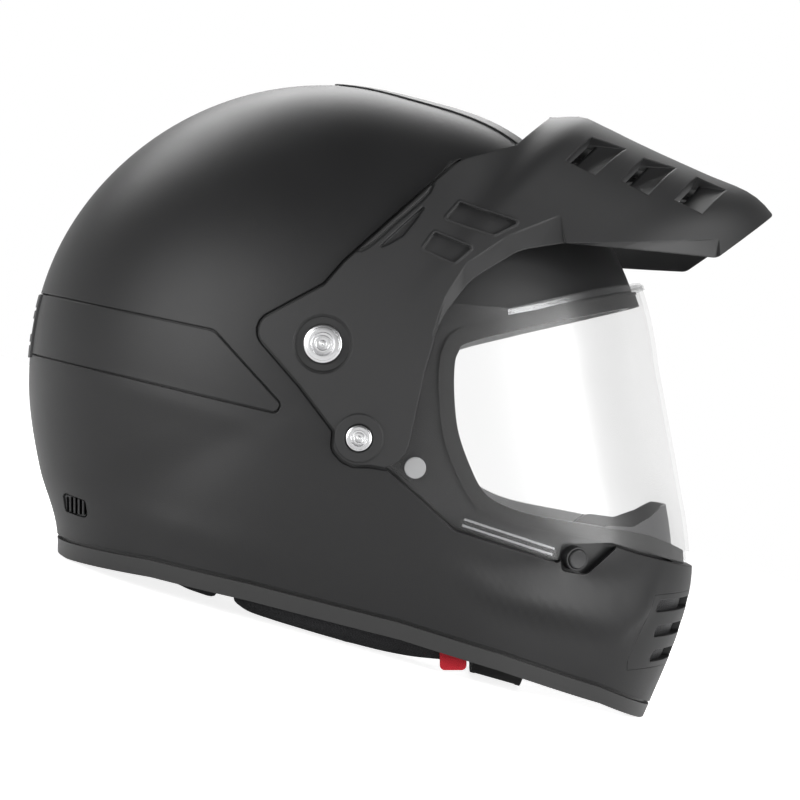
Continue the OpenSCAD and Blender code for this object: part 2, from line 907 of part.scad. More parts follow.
module peak_screws_upper() {
    color("#c9cacb")
        both_sides()
            peak_screw(UPPER_SCREW, upper_seat_y, upper_head_r, upper_head_t);
}

module peak_screws_lower() {
    color("#c9cacb")
        both_sides()
            peak_screw(LOWER_SCREW, lower_seat_y, lower_head_r, lower_head_t);
}

module peak_inserts() {
    color("#b8964a")
        both_sides()
            for (at = [UPPER_SCREW, LOWER_SCREW]) {
                top_y = shell_y(at[0], at[1], 0) - insert_sink;
                along_y(at, screw_in_y)
                    difference() {
                        cylinder(r = insert_r, h = top_y - screw_in_y, $fn = 48);
                        translate([0, 0, -PAST])
                            cylinder(r = shank_r + thread_gap, h = BORE, $fn = 32);
                    }
            }
}

module shield_layer(out, in) {
    difference() {
        lobe(rim(SHIELD_OUTLINE, out, COLS), shield_half_w + out);
        lobe(rim(SHIELD_OUTLINE, -in, COLS), shield_half_w - in);
    }
}

module shield() {
    color("#c8d0d4", 0.45)
        moulded()
            difference() {
                union() {
                    intersection() {
                        shield_layer(0, shield_t);
                        union() {
                            side_prism(SHIELD_SIDE);
                            rotate([90, 0, 0])
                                cylinder(r = ear_r, h = 2 * ACROSS, center = true, $fn = 40);
                        }
                    }
                    intersection() {
                        shield_layer(grip_h, shield_t / 2);
                        side_prism(GRIP_SIDE);
                    }
                }
                rotate([90, 0, 0])
                    cylinder(r = hub_r + facet_gap, h = 2 * ACROSS, center = true, $fn = 64);
                both_sides()
                    along_y(LATCH_AT, shield_half_w / 2)
                        cylinder(r = latch_pin_r + facet_gap, h = shield_half_w, $fn = 64);
            }
}

module shield_hub() {
    color("#3c3d40")
        along_y([0, 0], hub_y)
            difference() {
                cylinder(r = hub_r, h = hub_t, $fn = 64);
                translate([0, 0, -PAST])
                    cylinder(r = pivot_r + pivot_clear, h = hub_t + 2 * PAST, $fn = 64);
            }
}

module shield_base() {
    color("#2c2d30")
        along_y([0, 0], pocket_y)
            difference() {
                union() {
                    cylinder(r = pocket_r - fit_gap, h = base_plate_t, $fn = 64);
                    cylinder(r = pivot_r, h = boss_y - pocket_y, $fn = 64);
                }
                translate([0, 0, base_floor])
                    cylinder(r = pivot_shank_r, h = BORE, $fn = 32);
            }
}

module shield_pivot_screws() {
    color("#9a9b9d")
        both_sides()
            along_y([0, 0], boss_y) {
                difference() {
                    cylinder(r = pivot_head_r, h = pivot_head_t, $fn = 64);
                    translate([0, 0, pivot_head_t - socket_t])
                        cylinder(r = socket_r, h = pivot_head_t, $fn = 6);
                }
                translate([0, 0, pocket_y + base_floor - boss_y])
                    cylinder(r = pivot_shank_r, h = boss_y - pocket_y - base_floor, $fn = 32);
            }
}

module shield_latch() {
    face_y = shield_y(LATCH_AT[0], LATCH_AT[1]) + latch_proud;
    color("#8f9091")
        along_y(LATCH_AT, face_y) {
            cylinder(r = latch_r, h = latch_t, $fn = 64);
            translate([0, 0, -shield_t - latch_pin_in])
                cylinder(r = latch_pin_r, h = shield_t + latch_pin_in + latch_t / 2, $fn = 32);
        }
}

module lock_housing() {
    depth = housing_in + housing_proud;
    color("#1d1e20")
        on_shell(LOCK_AT, housing_in)
            difference() {
                cylinder(r = housing_r, h = depth, $fn = 64);
                translate([0, 0, housing_floor])
                    cylinder(r = button_r + button_clear, h = depth, $fn = 64);
            }
}

module lock_button() {
    color("#2e2f31")
        on_shell(LOCK_AT, button_len - button_proud) {
            cylinder(r = button_r, h = button_len - button_chamfer, $fn = 64);
            translate([0, 0, button_len - button_chamfer])
                cylinder(r1 = button_r, r2 = button_r - button_chamfer, h = button_chamfer, $fn = 64);
        }
}

module head_room(out) {
    lobe(rim(ROOM_OUTLINE, out, HIDDEN_COLS), room_half_w + out, HIDDEN_ROWS);
}

module eps_liner() {
    color("#3b3b3b")
        moulded()
            difference() {
                body_form(foam_in, HIDDEN_COLS, HIDDEN_ROWS);
                head_room(0);
                side_prism(LINER_CUT);
                side_prism(PORT_SIDE, gasket_lip + liner_port_gap);
                grille_box(liner_grille_gap);
                both_sides()
                    on_shell(LOCK_AT, BORE)
                        cylinder(r = housing_r + liner_lock_gap, h = BORE + housing_in, $fn = 24);
            }
}

module chin_foam() {
    inset = foam_in + chin_foam_gap;
    color("#3b3b3b")
        moulded()
            difference() {
                intersection() {
                    body_form(inset, HIDDEN_COLS, HIDDEN_ROWS);
                    side_prism(CHIN_FOAM_SIDE);
                }
                core_inner(-inset - chin_foam_t);
                both_sides()
                    on_shell(LOCK_AT, BORE)
                        cylinder(r = housing_r + liner_lock_gap, h = BORE + housing_in, $fn = 24);
            }
}

module crown_liner() {
    color("#2d2d2f")
        moulded()
            difference() {
                intersection() {
                    head_room(-soft_gap);
                    side_prism(CROWN_PAD_SIDE);
                }
                head_room(-soft_gap - crown_pad_t);
                intersection() {
                    both_sides()
                        translate([channel_from, channel_y - channel_w / 2, 0])
                            cube([channel_len, channel_w, ALONG]);
                    head_room(-soft_gap - crown_pad_t + channel_depth);
                }
            }
}

function cheek_point(a, f, side) =
    let (
        r = star(CHEEK_OUTLINE, a) * f,
        x = CHEEK_MID[0] + r * cos(a),
        z = CHEEK_MID[1] + r * sin(a),
        outer = min(
            shell_y(x, z, -cheek_out),
            side_y(core_radius(atan2(z, x)), core_half_w, x, z) - cheek_core_gap
                + 2 * max(lookup(x, RECESS_LOW) - z, 0)
        ),
        channel = cheek_channel_t * exp(-pow((x - CHEEK_MID[0]) / cheek_channel_w, 2)),
        inner = cheek_in + cheek_fall * pow(f, 3) + channel * (1 - pow(f, 4)),
        mid = (outer + inner) / 2,
        half = (outer - inner) / 2 * pow(1 - pow(f, 5), 0.36)
    )
    [x, mid + side * half, z];

module cheek_pad() {
    cols = 32;
    fracs = [0.3, 0.55, 0.75, 0.88, 0.96, 1];
    n = len(fracs);
    inner = [for (k = [0:n - 1], i = [0:cols - 1]) cheek_point(i * 360 / cols, fracs[k], -1)];
    outer = [for (k = [0:n - 2], i = [0:cols - 1]) cheek_point(i * 360 / cols, fracs[k], 1)];
    skins = concat(inner, outer);
    m_in = len(skins);
    m_out = m_in + 1;
    off = n * cols;
    walls = [
        for (k = [0:n - 2], i = [0:cols - 1])
            let (
                j = (i + 1) % cols,
                a = k * cols + i,
                b = k * cols + j,
                c = a + cols,
                d = b + cols,
                e = k == n - 2 ? c : off + c,
                g = k == n - 2 ? d : off + d
            )
            each [[a, d, c], [a, b, d], [off + a, g, off + b], [off + a, e, g]]
    ];
    caps = [
        for (i = [0:cols - 1])
            let (j = (i + 1) % cols)
            each [[m_in, j, i], [m_out, off + i, off + j]]
    ];
    points = concat(skins, [cheek_point(0, 0, -1), cheek_point(0, 0, 1)]);
    color("#2a2a2c")
        moulded()
            rest_cut()
                difference() {
                    polyhedron(points = points, faces = concat(walls, caps), convexity = 6);
                    pull_tab_form(soft_gap);
                }
}

// Height of the roll's middle, lower towards its front ends
function roll_z(x) =
    let (f = min(max((x - roll_drop_from) / roll_drop_run, 0), 1))
    base_z(x) + roll_up - roll_drop * f * f * (3 - 2 * f);

function roll_point(k, n, i, sides) =
    let (
        q = 2 * k / n - 1,
        t = roll_turn * (1.5 * q - 0.5 * q * q * q),
        x = ROLL_MID[0] - roll_x * cos(t),
        y = roll_y * sin(t),
        ends = pow(1 - pow(abs(q), 14), 0.5),
        puff = ends * (1 - roll_pinch * pow(abs(cos(t * roll_channels)), 12)),
        out = unit([-cos(t) / roll_x, sin(t) / roll_y]),
        a = i * 360 / sides
    )
    [
        x + out[0] * roll_half_t * puff * cos(a),
        y + out[1] * roll_half_t * puff * cos(a),
        roll_z(x) + roll_half_h * puff * sin(a)
    ];

module neck_roll() {
    n = 32;
    sides = 10;
    rings = [for (k = [1:n - 1], i = [0:sides - 1]) roll_point(k, n, i, sides)];
    ends = [roll_point(0, n, 0, sides), roll_point(n, n, 0, sides)];
    last = (n - 2) * sides;
    m = len(rings);
    walls = [
        for (k = [0:n - 3], i = [0:sides - 1])
            let (a = k * sides + i, b = k * sides + (i + 1) % sides)
            each [[a, a + sides, b + sides], [a, b + sides, b]]
    ];
    caps = [
        for (i = [0:sides - 1])
            let (j = (i + 1) % sides)
            each [[m, i, j], [m + 1, last + j, last + i]]
    ];
    color("#2a2a2c")
        moulded()
            rest_cut()
                polyhedron(points = concat(rings, ends), faces = concat(walls, caps), convexity = 6);
}

// Flat ribbon through a few points in the YZ plane, centred on one X
module ribbon(points, x, w, t) {
    n = len(points);
    side = [
        for (i = [0:n - 1])
            let (
                d = unit(points[min(i + 1, n - 1)] - points[max(i - 1, 0)]),
                up = [-d[1], d[0]]
            )
            [points[i] + up * t / 2, points[i] - up * t / 2]
    ];
    outline = concat([for (s = side) s[0]], [for (i = [n - 1:-1:0]) side[i][1]]);
    translate([x - w / 2, 0, 0])
        rotate([90, 0, 90])
            linear_extrude(height = w)
                polygon(outline);
}

module strap_frame() {
    rotate([0, stand_tilt, 0])
        translate([strap_at, 0, floor_z + ring_lift])
            children();
}

module rivet_hole() {
    both_sides()
        along_y([0, anchor_up], anchor_y - rivet_r)
            cylinder(
                r = rivet_shank_r + rivet_clear,
                h = rivet_end_y - anchor_y + rivet_r + rivet_clear,
                $fn = 24
            );
}

module pull_tab_form(grow = 0) {
    translate(TAB_AT)
        cube(TAB_SIZE + 2 * grow * [1, 1, 1], center = true);
}

module pad_pull_tab() {
    color("#dc323c")
        pull_tab_form();
}

module chin_strap_left() {
    color("#1c1c1e")
        strap_frame()
            difference() {
                union() {
                    ribbon(STRAP_LEFT, 0, strap_w, strap_t);
                    translate([-strap_w / 2, loop_y, 0])
                        rotate([0, 90, 0])
                            cylinder(r = loop_r + loop_wall, h = strap_w, $fn = 48);
                }
                translate([-strap_w, loop_y, 0])
                    rotate([0, 90, 0])
                        cylinder(r = loop_r, h = 2 * strap_w, $fn = 48);
                rivet_hole();
            }
}

module chin_strap_right() {
    color("#1c1c1e")
        strap_frame()
            difference() {
                ribbon(STRAP_RIGHT, 0, strap_w, strap_t);
                rivet_hole();
            }
}

// Rivet head and washer on each side of the webbing, with a shank into the shell's wall
module strap_anchors() {
    face = strap_t / 2 + rivet_clear;
    color("#8a8b8d")
        strap_frame()
            both_sides() {
                along_y([0, anchor_up], anchor_y - face - rivet_head_t)
                    cylinder(r = rivet_r, h = rivet_head_t, $fn = 48);
                along_y([0, anchor_up], anchor_y - face - rivet_head_t / 2)
                    cylinder(
                        r = rivet_shank_r,
                        h = rivet_end_y - anchor_y + face + rivet_head_t / 2,
                        $fn = 32
                    );
                along_y([0, anchor_up], anchor_y + face)
                    cylinder(r = rivet_washer_r, h = rivet_washer_t, $fn = 48);
            }
}

module strap_snap() {
    color("#8a8b8d")
        strap_frame()
            translate([0, snap_y, strap_low - strap_t / 2 - snap_t])
                cylinder(r = snap_r, h = snap_t, $fn = 48);
}

// D ring: a straight bar along X and a round bow towards the wearer's right
module d_ring(level) {
    half = ring_len / 2 + ring_wire_r;
    straight = ring_reach - ring_bow;
    strap_frame()
        translate([0, loop_y, level]) {
            translate([-half, 0, 0])
                rotate([0, 90, 0])
                    cylinder(r = ring_wire_r, h = ring_len, $fn = 32);
            for (s = [-1, 1]) {
                translate([s * half, 0, 0])
                    sphere(r = ring_wire_r, $fn = 32);
                translate([s * half, -straight, 0])
                    rotate([-90, 0, 0])
                        cylinder(r = ring_wire_r, h = straight, $fn = 32);
                translate([s * (half - ring_bow), -straight, 0])
                    rotate([0, 0, s > 0 ? -90 : 180])
                        rotate_extrude(angle = 90, $fn = 64)
                            translate([ring_bow, 0])
                                circle(r = ring_wire_r, $fn = 32);
            }
            translate([-(half - ring_bow), -ring_reach, 0])
                rotate([0, 90, 0])
                    cylinder(r = ring_wire_r, h = 2 * (half - ring_bow), $fn = 32);
        }
}

module d_ring_upper() {
    color("#c4c5c6")
        d_ring(ring_wire_r);
}

module d_ring_lower() {
    color("#c4c5c6")
        d_ring(-ring_wire_r);
}

module neck_vent_left() neck_vent();
module neck_vent_right() mirror([0, 1, 0]) neck_vent();
module shield_hub_left() shield_hub();
module shield_hub_right() mirror([0, 1, 0]) shield_hub();
module shield_base_left() shield_base();
module shield_base_right() mirror([0, 1, 0]) shield_base();
module shield_latch_left() shield_latch();
module shield_latch_right() mirror([0, 1, 0]) shield_latch();
module lock_housing_left() lock_housing();
module lock_housing_right() mirror([0, 1, 0]) lock_housing();
module lock_button_left() lock_button();
module lock_button_right() mirror([0, 1, 0]) lock_button();
module cheek_pad_left() cheek_pad();
module cheek_pad_right() mirror([0, 1, 0]) cheek_pad();
module pad_pull_tab_left() pad_pull_tab();
module pad_pull_tab_right() mirror([0, 1, 0]) pad_pull_tab();

stand() {
    outer_shell();
    rear_panel();
    rear_vent_grille();
    rear_vent_mesh();
    crown_fairing();
    base_trim();
    eye_port_gasket();
    neck_vent_left();
    neck_vent_right();
    chin_vent_frame();
    chin_vent_mesh();
    breath_guard();
    peak();
    peak_screws_upper();
    peak_screws_lower();
    peak_inserts();
    shield();
    shield_hub_left();
    shield_hub_right();
    shield_base_left();
    shield_base_right();
    shield_pivot_screws();
    shield_latch_left();
    shield_latch_right();
    lock_housing_left();
    lock_housing_right();
    lock_button_left();
    lock_button_right();
    eps_liner();
    chin_foam();
    crown_liner();
    cheek_pad_left();
    cheek_pad_right();
    neck_roll();
    pad_pull_tab_left();
    pad_pull_tab_right();
    chin_strap_left();
    chin_strap_right();
    strap_anchors();
    strap_snap();
    d_ring_upper();
    d_ring_lower();
}
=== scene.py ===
"""Full face helmet with a peak, drawn over its construction model."""

import json
import logging
import math
from collections.abc import Callable
from dataclasses import dataclass
from enum import Enum

import bmesh
import bpy
from mathutils import Matrix, Vector

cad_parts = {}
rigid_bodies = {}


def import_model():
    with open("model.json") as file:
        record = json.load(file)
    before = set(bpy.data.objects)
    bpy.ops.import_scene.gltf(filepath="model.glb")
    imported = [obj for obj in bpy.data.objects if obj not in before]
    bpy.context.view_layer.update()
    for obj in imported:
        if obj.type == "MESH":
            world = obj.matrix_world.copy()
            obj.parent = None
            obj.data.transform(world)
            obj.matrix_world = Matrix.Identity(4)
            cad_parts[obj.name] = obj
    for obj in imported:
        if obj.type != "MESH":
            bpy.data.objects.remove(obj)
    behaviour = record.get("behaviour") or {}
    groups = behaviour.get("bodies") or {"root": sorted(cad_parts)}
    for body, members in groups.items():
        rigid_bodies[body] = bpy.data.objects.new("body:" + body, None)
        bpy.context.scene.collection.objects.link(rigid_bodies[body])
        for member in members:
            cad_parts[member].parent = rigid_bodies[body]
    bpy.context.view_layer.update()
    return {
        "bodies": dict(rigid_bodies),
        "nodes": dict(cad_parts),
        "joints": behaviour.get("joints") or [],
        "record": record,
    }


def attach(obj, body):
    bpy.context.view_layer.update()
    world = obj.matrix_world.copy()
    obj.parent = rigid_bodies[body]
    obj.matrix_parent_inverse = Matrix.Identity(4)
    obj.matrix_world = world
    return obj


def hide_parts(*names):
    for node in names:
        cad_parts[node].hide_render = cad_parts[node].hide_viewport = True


logging.basicConfig(level=logging.INFO, format="%(message)s")
log = logging.getLogger("helmet")

# Worn to standing: the helmet is drawn as it is worn and tilted back onto its base
TILT = math.radians(15.8)
SHIFT = Vector((-0.018097, 0.0, 0.120628))
WORN = Matrix.Translation(SHIFT) @ Matrix.Rotation(-TILT, 4, "Y") @ Matrix.Scale(0.001, 4)
METRES = Matrix.Scale(0.001, 4)
# Reach of the cutters past the helmet, in millimetres
ACROSS = 170.0
AHEAD = 230.0
DEEP = -290.0
PAST = 150.0
# Height over a line where the line has ended
OFF_LINE = 1000.0
# Columns and rows of the rounded bodies
FINEST = (280, 140)
FINE = (240, 120)
MEDIUM = (160, 80)
COARSE = (120, 60)

Points = tuple[tuple[float, float], ...]


class Axis(Enum):
    """Direction that a prism runs in."""

    ALONG = 0
    ACROSS = 1
    UP = 2


class Side(Enum):
    """Wearer's right or left, as the sign of Y."""

    RIGHT = -1
    LEFT = 1

    @property
    def word(self) -> str:
        """Name used in the piece names."""
        return self.name.lower()


def curve_point(a: Vector, b: Vector, c: Vector, d: Vector, t: float) -> Vector:
    """Point between b and c on the smooth curve through four points."""
    bend = (2 * a - 5 * b + 4 * c - d) * t**2 + (3 * b - a - 3 * c + d) * t**3
    return 0.5 * (2 * b + (c - a) * t + bend)


@dataclass(frozen=True)
class Star:
    """Smooth closed curve round the pivot, through pairs of angle and radius."""

    table: Points

    def radius(self, angle: float) -> float:
        """Radius at an angle in degrees.

        Args:
            angle: Direction from the pivot, in degrees.

        Returns:
            Distance from the pivot.
        """
        tab, count = self.table, len(self.table)
        angle -= 360 * math.floor((angle + 180) / 360)
        i = max(k for k in range(count) if tab[k][0] <= angle)
        before = tab[i - 1] if i else (tab[-1][0] - 360, tab[-1][1])
        here = tab[i]
        ahead = [tab[(i + k) % count] for k in (1, 2)]
        turns = [360 * ((i + k) // count) for k in (1, 2)]
        (a1, r1), (a2, r2) = [(p[0] + turn, p[1]) for p, turn in zip(ahead, turns)]
        span = a1 - here[0]
        t = (angle - here[0]) / span
        m0 = (r1 - before[1]) / (a1 - before[0]) * span
        m1 = (r2 - here[1]) / (a2 - here[0]) * span
        return (
            (2 * t**3 - 3 * t**2 + 1) * here[1]
            + (t**3 - 2 * t**2 + t) * m0
            + (3 * t**2 - 2 * t**3) * r1
            + (t**3 - t**2) * m1
        )


@dataclass(frozen=True)
class Sketch:
    """Closed outline whose corners have fillets of their own radius."""

    points: tuple[tuple[float, ...], ...]
    steps: int = 6

    def traced(self) -> list[Vector]:
        """Outline with each fillet drawn in short straight steps.

        Returns:
            The outline's points.
        """
        corners = [Vector(p[:2]) for p in self.points]
        line: list[Vector] = []
        for i, point in enumerate(self.points):
            radius = point[2] if len(point) > 2 else 0.0
            here = corners[i]
            if radius <= 0:
                line.append(here)
                continue
            back = corners[i - 1] - here
            ahead = corners[(i + 1) % len(corners)] - here
            half = back.angle(ahead) / 2
            setback = min(radius / math.tan(half), 0.48 * min(back.length, ahead.length))
            start = back.normalized() * setback
            end = ahead.normalized() * setback
            centre = (start + end).normalized() * (setback / math.cos(half))
            reach = (start - centre).length
            for step in range(self.steps + 1):
                spoke = (start - centre).lerp(end - centre, step / self.steps)
                line.append(here + centre + spoke.normalized() * reach)
        return line

    def smooth(self) -> list[Vector]:
        """Outline as a smooth curve through all its points.

        Returns:
            The curve's points.
        """
        pts = [Vector(p[:2]) for p in self.points]
        line: list[Vector] = []
        for i in range(len(pts)):
            four = [pts[(i + k) % len(pts)] for k in (-1, 0, 1, 2)]
            line += [curve_point(*four, step / self.steps) for step in range(self.steps)]
        return line


def grown(line: list[Vector], by: float) -> list[Vector]:
    """Outline moved outwards by a distance, with mitred corners.

    Args:
        line: Closed outline.
        by: Distance, negative for inwards.

    Returns:
        The new outline.
    """
    count = len(line)
    area = sum(line[i - 1].x * line[i].y - line[i].x * line[i - 1].y for i in range(count))
    sign = 1 if area > 0 else -1
    moved: list[Vector] = []
    for i, here in enumerate(line):
        before = (here - line[i - 1]).normalized()
        ahead = (line[(i + 1) % count] - here).normalized()
        out = Vector((before.y + ahead.y, -before.x - ahead.x)).normalized() * sign
        side = Vector((ahead.y, -ahead.x)) * sign
        moved.append(here + out * by / max(out.dot(side), 0.5))
    return moved


def face_outwards(bm: bmesh.types.BMesh) -> None:
    """Turns a closed mesh the right way out.

    Args:
        bm: Loose mesh.
    """
    bmesh.ops.recalc_face_normals(bm, faces=bm.faces)
    if bm.calc_volume(signed=True) < 0:
        bmesh.ops.reverse_faces(bm, faces=bm.faces)


def flipped(mesh: bpy.types.Mesh) -> bmesh.types.BMesh:
    """Loose copy of a mesh, mirrored to the other side.

    Args:
        mesh: Mesh that is left as it is.

    Returns:
        The loose copy, with its faces not yet turned.
    """
    bm = bmesh.new()
    bm.from_mesh(mesh)
    bmesh.ops.scale(bm, vec=(1, -1, 1), verts=bm.verts)
    return bm


def bake(obj: bpy.types.Object) -> None:
    """Turns the result of an object's modifiers into its mesh.

    Args:
        obj: Object whose modifiers are used up.
    """
    graph = bpy.context.evaluated_depsgraph_get()
    graph.update()
    mesh = bpy.data.meshes.new_from_object(obj.evaluated_get(graph))
    obj.modifiers.clear()
    old, obj.data = obj.data, mesh
    bpy.data.meshes.remove(old)


class Solid:
    """Closed mesh in the worn frame, in millimetres, that cuts and joins others."""

    def __init__(self, source: bmesh.types.BMesh | bpy.types.Mesh) -> None:
        """Takes a finished mesh over, or a loose one, which it frees.

        Args:
            source: Mesh of a closed body.
        """
        mesh = source
        if isinstance(source, bmesh.types.BMesh):
            face_outwards(source)
            mesh = bpy.data.meshes.new("solid")
            source.to_mesh(mesh)
            source.free()
        self.obj = bpy.data.objects.new("solid", mesh)
        bpy.context.scene.collection.objects.link(self.obj)

    def _combine(self, others: tuple["Solid", ...], operation: str) -> "Solid":
        """Applies one boolean after another and removes the other solids.

        Args:
            others: Solids that are used up.
            operation: Kind of boolean.

        Returns:
            This solid.
        """
        for other in others:
            modifier = self.obj.modifiers.new("combine", "BOOLEAN")
            modifier.operation = operation
            modifier.solver = "MANIFOLD"
            modifier.object = other.obj
            bake(self.obj)
            other.remove()
        return self

    def cut(self, *others: "Solid") -> "Solid":
        """Takes the others away from this solid."""
        return self._combine(others, "DIFFERENCE")

    def join(self, *others: "Solid") -> "Solid":
        """Adds the others to this solid."""
        return self._combine(others, "UNION")

    def keep(self, *others: "Solid") -> "Solid":
        """Keeps what is inside every one of the others."""
        return self._combine(others, "INTERSECT")

    def both(self) -> "Solid":
        """Adds this solid's mirror image on the other side."""
        return self.join(Solid(flipped(self.obj.data)))

    def mirrored(self) -> "Solid":
        """Turns this solid into its mirror image.

        Returns:
            This solid.
        """
        bm = flipped(self.obj.data)
        face_outwards(bm)
        bm.to_mesh(self.obj.data)
        bm.free()
        return self

    def remove(self) -> None:
        """Deletes the object and its mesh."""
        mesh = self.obj.data
        bpy.data.objects.remove(self.obj)
        bpy.data.meshes.remove(mesh)


def prism(
    line: list[Vector], low: float = -ACROSS, high: float = ACROSS, axis: Axis = Axis.ACROSS
) -> Solid:
    """Straight solid over an outline.

    Args:
        line: Outline in the plane square to the axis.
        low: Where the solid starts on the axis.
        high: Where it ends.
        axis: Direction that it runs in.

    Returns:
        The solid.
    """
    bm = bmesh.new()
    verts = []
    for point in line:
        place = list(point)
        place.insert(axis.value, low)
        verts.append(bm.verts.new(place))
    face = bm.faces.new(verts)
    made = bmesh.ops.extrude_face_region(bm, geom=[face])
    step = [0.0, 0.0, 0.0]
    step[axis.value] = high - low
    moved = [item for item in made["geom"] if isinstance(item, bmesh.types.BMVert)]
    bmesh.ops.translate(bm, vec=step, verts=moved)
    return Solid(bm)


def block(low: tuple[float, float, float], high: tuple[float, float, float]) -> Solid:
    """Box between two corners, used as a cutter or a bound.

    Args:
        low: Corner with the least values.
        high: Corner with the greatest.

    Returns:
        The box.
    """
    bm = bmesh.new()
    bmesh.ops.create_cube(bm, size=1)
    size = Vector(high) - Vector(low)
    bmesh.ops.scale(bm, vec=size, verts=bm.verts)
    bmesh.ops.translate(bm, vec=(Vector(low) + Vector(high)) / 2, verts=bm.verts)
    return Solid(bm)


def rear_block(half: float, low: float, high: float) -> Solid:
    """Box across the back of the helmet, between two heights."""
    return block((-200, -half, low), (-100, half, high))


def hull(points: list[Vector]) -> Solid:
    """Convex solid round a few points.

    Args:
        points: Points that the solid wraps.

    Returns:
        The solid.
    """
    bm = bmesh.new()
    for point in points:
        bm.verts.new(point)
    made = bmesh.ops.convex_hull(bm, input=bm.verts)
    spare = [g for g in made["geom_interior"] + made["geom_unused"] if isinstance(g, bmesh.types.BMVert)]
    bmesh.ops.delete(bm, geom=list(set(spare)), context="VERTS")
    return Solid(bm)


def turned(profile: list[tuple[float, float]], place: Matrix, steps: int = 96) -> Solid:
    """Round solid spun from a profile of radius and height, whose ends lie on the axis.

    Args:
        profile: Pairs of radius and height, from the lower end to the upper one.
        place: Frame whose Z is the axis.
        steps: Number of flat steps round it.

    Returns:
        The solid.
    """
    bm = bmesh.new()
    verts = [bm.verts.new((radius, 0, height)) for radius, height in profile]
    edges = [bm.edges.new(pair) for pair in zip(verts, verts[1:])]
    bmesh.ops.spin(
        bm,
        geom=verts + edges,
        cent=(0, 0, 0),
        axis=(0, 0, 1),
        angle=2 * math.pi,
        steps=steps,
        use_merge=True,
    )
    bmesh.ops.remove_doubles(bm, verts=bm.verts, dist=1e-4)
    bmesh.ops.transform(bm, matrix=place, verts=bm.verts)
    return Solid(bm)


def along_y(x: float, z: float, y: float, side: Side) -> Matrix:
    """Frame whose Z runs outwards along the pivot axis, from a distance off the middle plane."""
    turn = Matrix.Rotation(math.radians(-90 * side.value), 4, "X")
    return Matrix.Translation((x, y * side.value, z)) @ turn


def ring_line(x: float, z: float, radius: float, steps: int = 48) -> list[Vector]:
    """Round outline about a point."""
    turns = (2 * math.pi * i / steps for i in range(steps))
    return [Vector((x + radius * math.cos(a), z + radius * math.sin(a))) for a in turns]


def disc(
    x: float, z: float, radius: float, low: float, high: float = PAST, steps: int = 64
) -> Solid:
    """Round cutter along the pivot axis on the wearer's right, between two distances."""
    return prism(ring_line(x, z, radius, steps), -high, -low)


def trace(points: list[Vector], steps: int = 8) -> list[Vector]:
    """Smooth open curve through a few points.

    Args:
        points: Points on the curve.
        steps: Steps between two points.

    Returns:
        The curve's points.
    """
    ends = [points[0] * 2 - points[1], *points, points[-1] * 2 - points[-2]]
    line: list[Vector] = []
    for i in range(len(ends) - 3):
        line += [curve_point(*ends[i : i + 4], step / steps) for step in range(steps)]
    return [*line, points[-1].copy()]


def band(points: list[Vector], width: float) -> list[Vector]:
    """Outline of an even band along an open line in a plane.

    Args:
        points: Open line.
        width: Width of the band.

    Returns:
        Its closed outline.
    """
    left, right = [], []
    last = len(points) - 1
    for i, here in enumerate(points):
        along = (points[min(i + 1, last)] - points[max(i - 1, 0)]).normalized()
        across = Vector((-along.y, along.x)) * (width / 2)
        left.append(here + across)
        right.append(here - across)
    return left + right[::-1]


def eased(value: float) -> float:
    """Smooth step from 0 to 1."""
    value = min(max(value, 0.0), 1.0)
    return value * value * (3 - 2 * value)


def height_over(line: Points, x: float, z: float) -> float:
    """How far a side position lies above an open line, or OFF_LINE beyond its ends.

    Args:
        line: Open line from the rear to the front.
        x: Place along it.
        z: Height there.

    Returns:
        The height above the line.
    """
    for (x0, z0), (x1, z1) in zip(line, line[1:]):
        if x0 <= x <= x1:
            return z - (z0 + (z1 - z0) * (x - x0) / (x1 - x0))
    return OFF_LINE


class Lobes:
    """Store of rounded bodies that are needed more than once."""

    balls: dict[tuple[int, int], bmesh.types.BMesh] = {}
    made: dict[tuple[object, ...], bpy.types.Mesh] = {}

    @classmethod
    def ball(cls, columns: int, rows: int) -> bmesh.types.BMesh:
        """Copy of the unit ball with its poles on Z.

        Args:
            columns: Faces round the ball.
            rows: Faces from pole to pole.

        Returns:
            A loose mesh.
        """
        if (columns, rows) not in cls.balls:
            bm = bmesh.new()
            bmesh.ops.create_uvsphere(bm, u_segments=columns, v_segments=rows, radius=1)
            cls.balls[columns, rows] = bm
        return cls.balls[columns, rows].copy()

    @classmethod
    def clear(cls) -> None:
        """Frees what is stored."""
        for bm in cls.balls.values():
            bm.free()
        for mesh in cls.made.values():
            bpy.data.meshes.remove(mesh)
        cls.balls.clear()
        cls.made.clear()


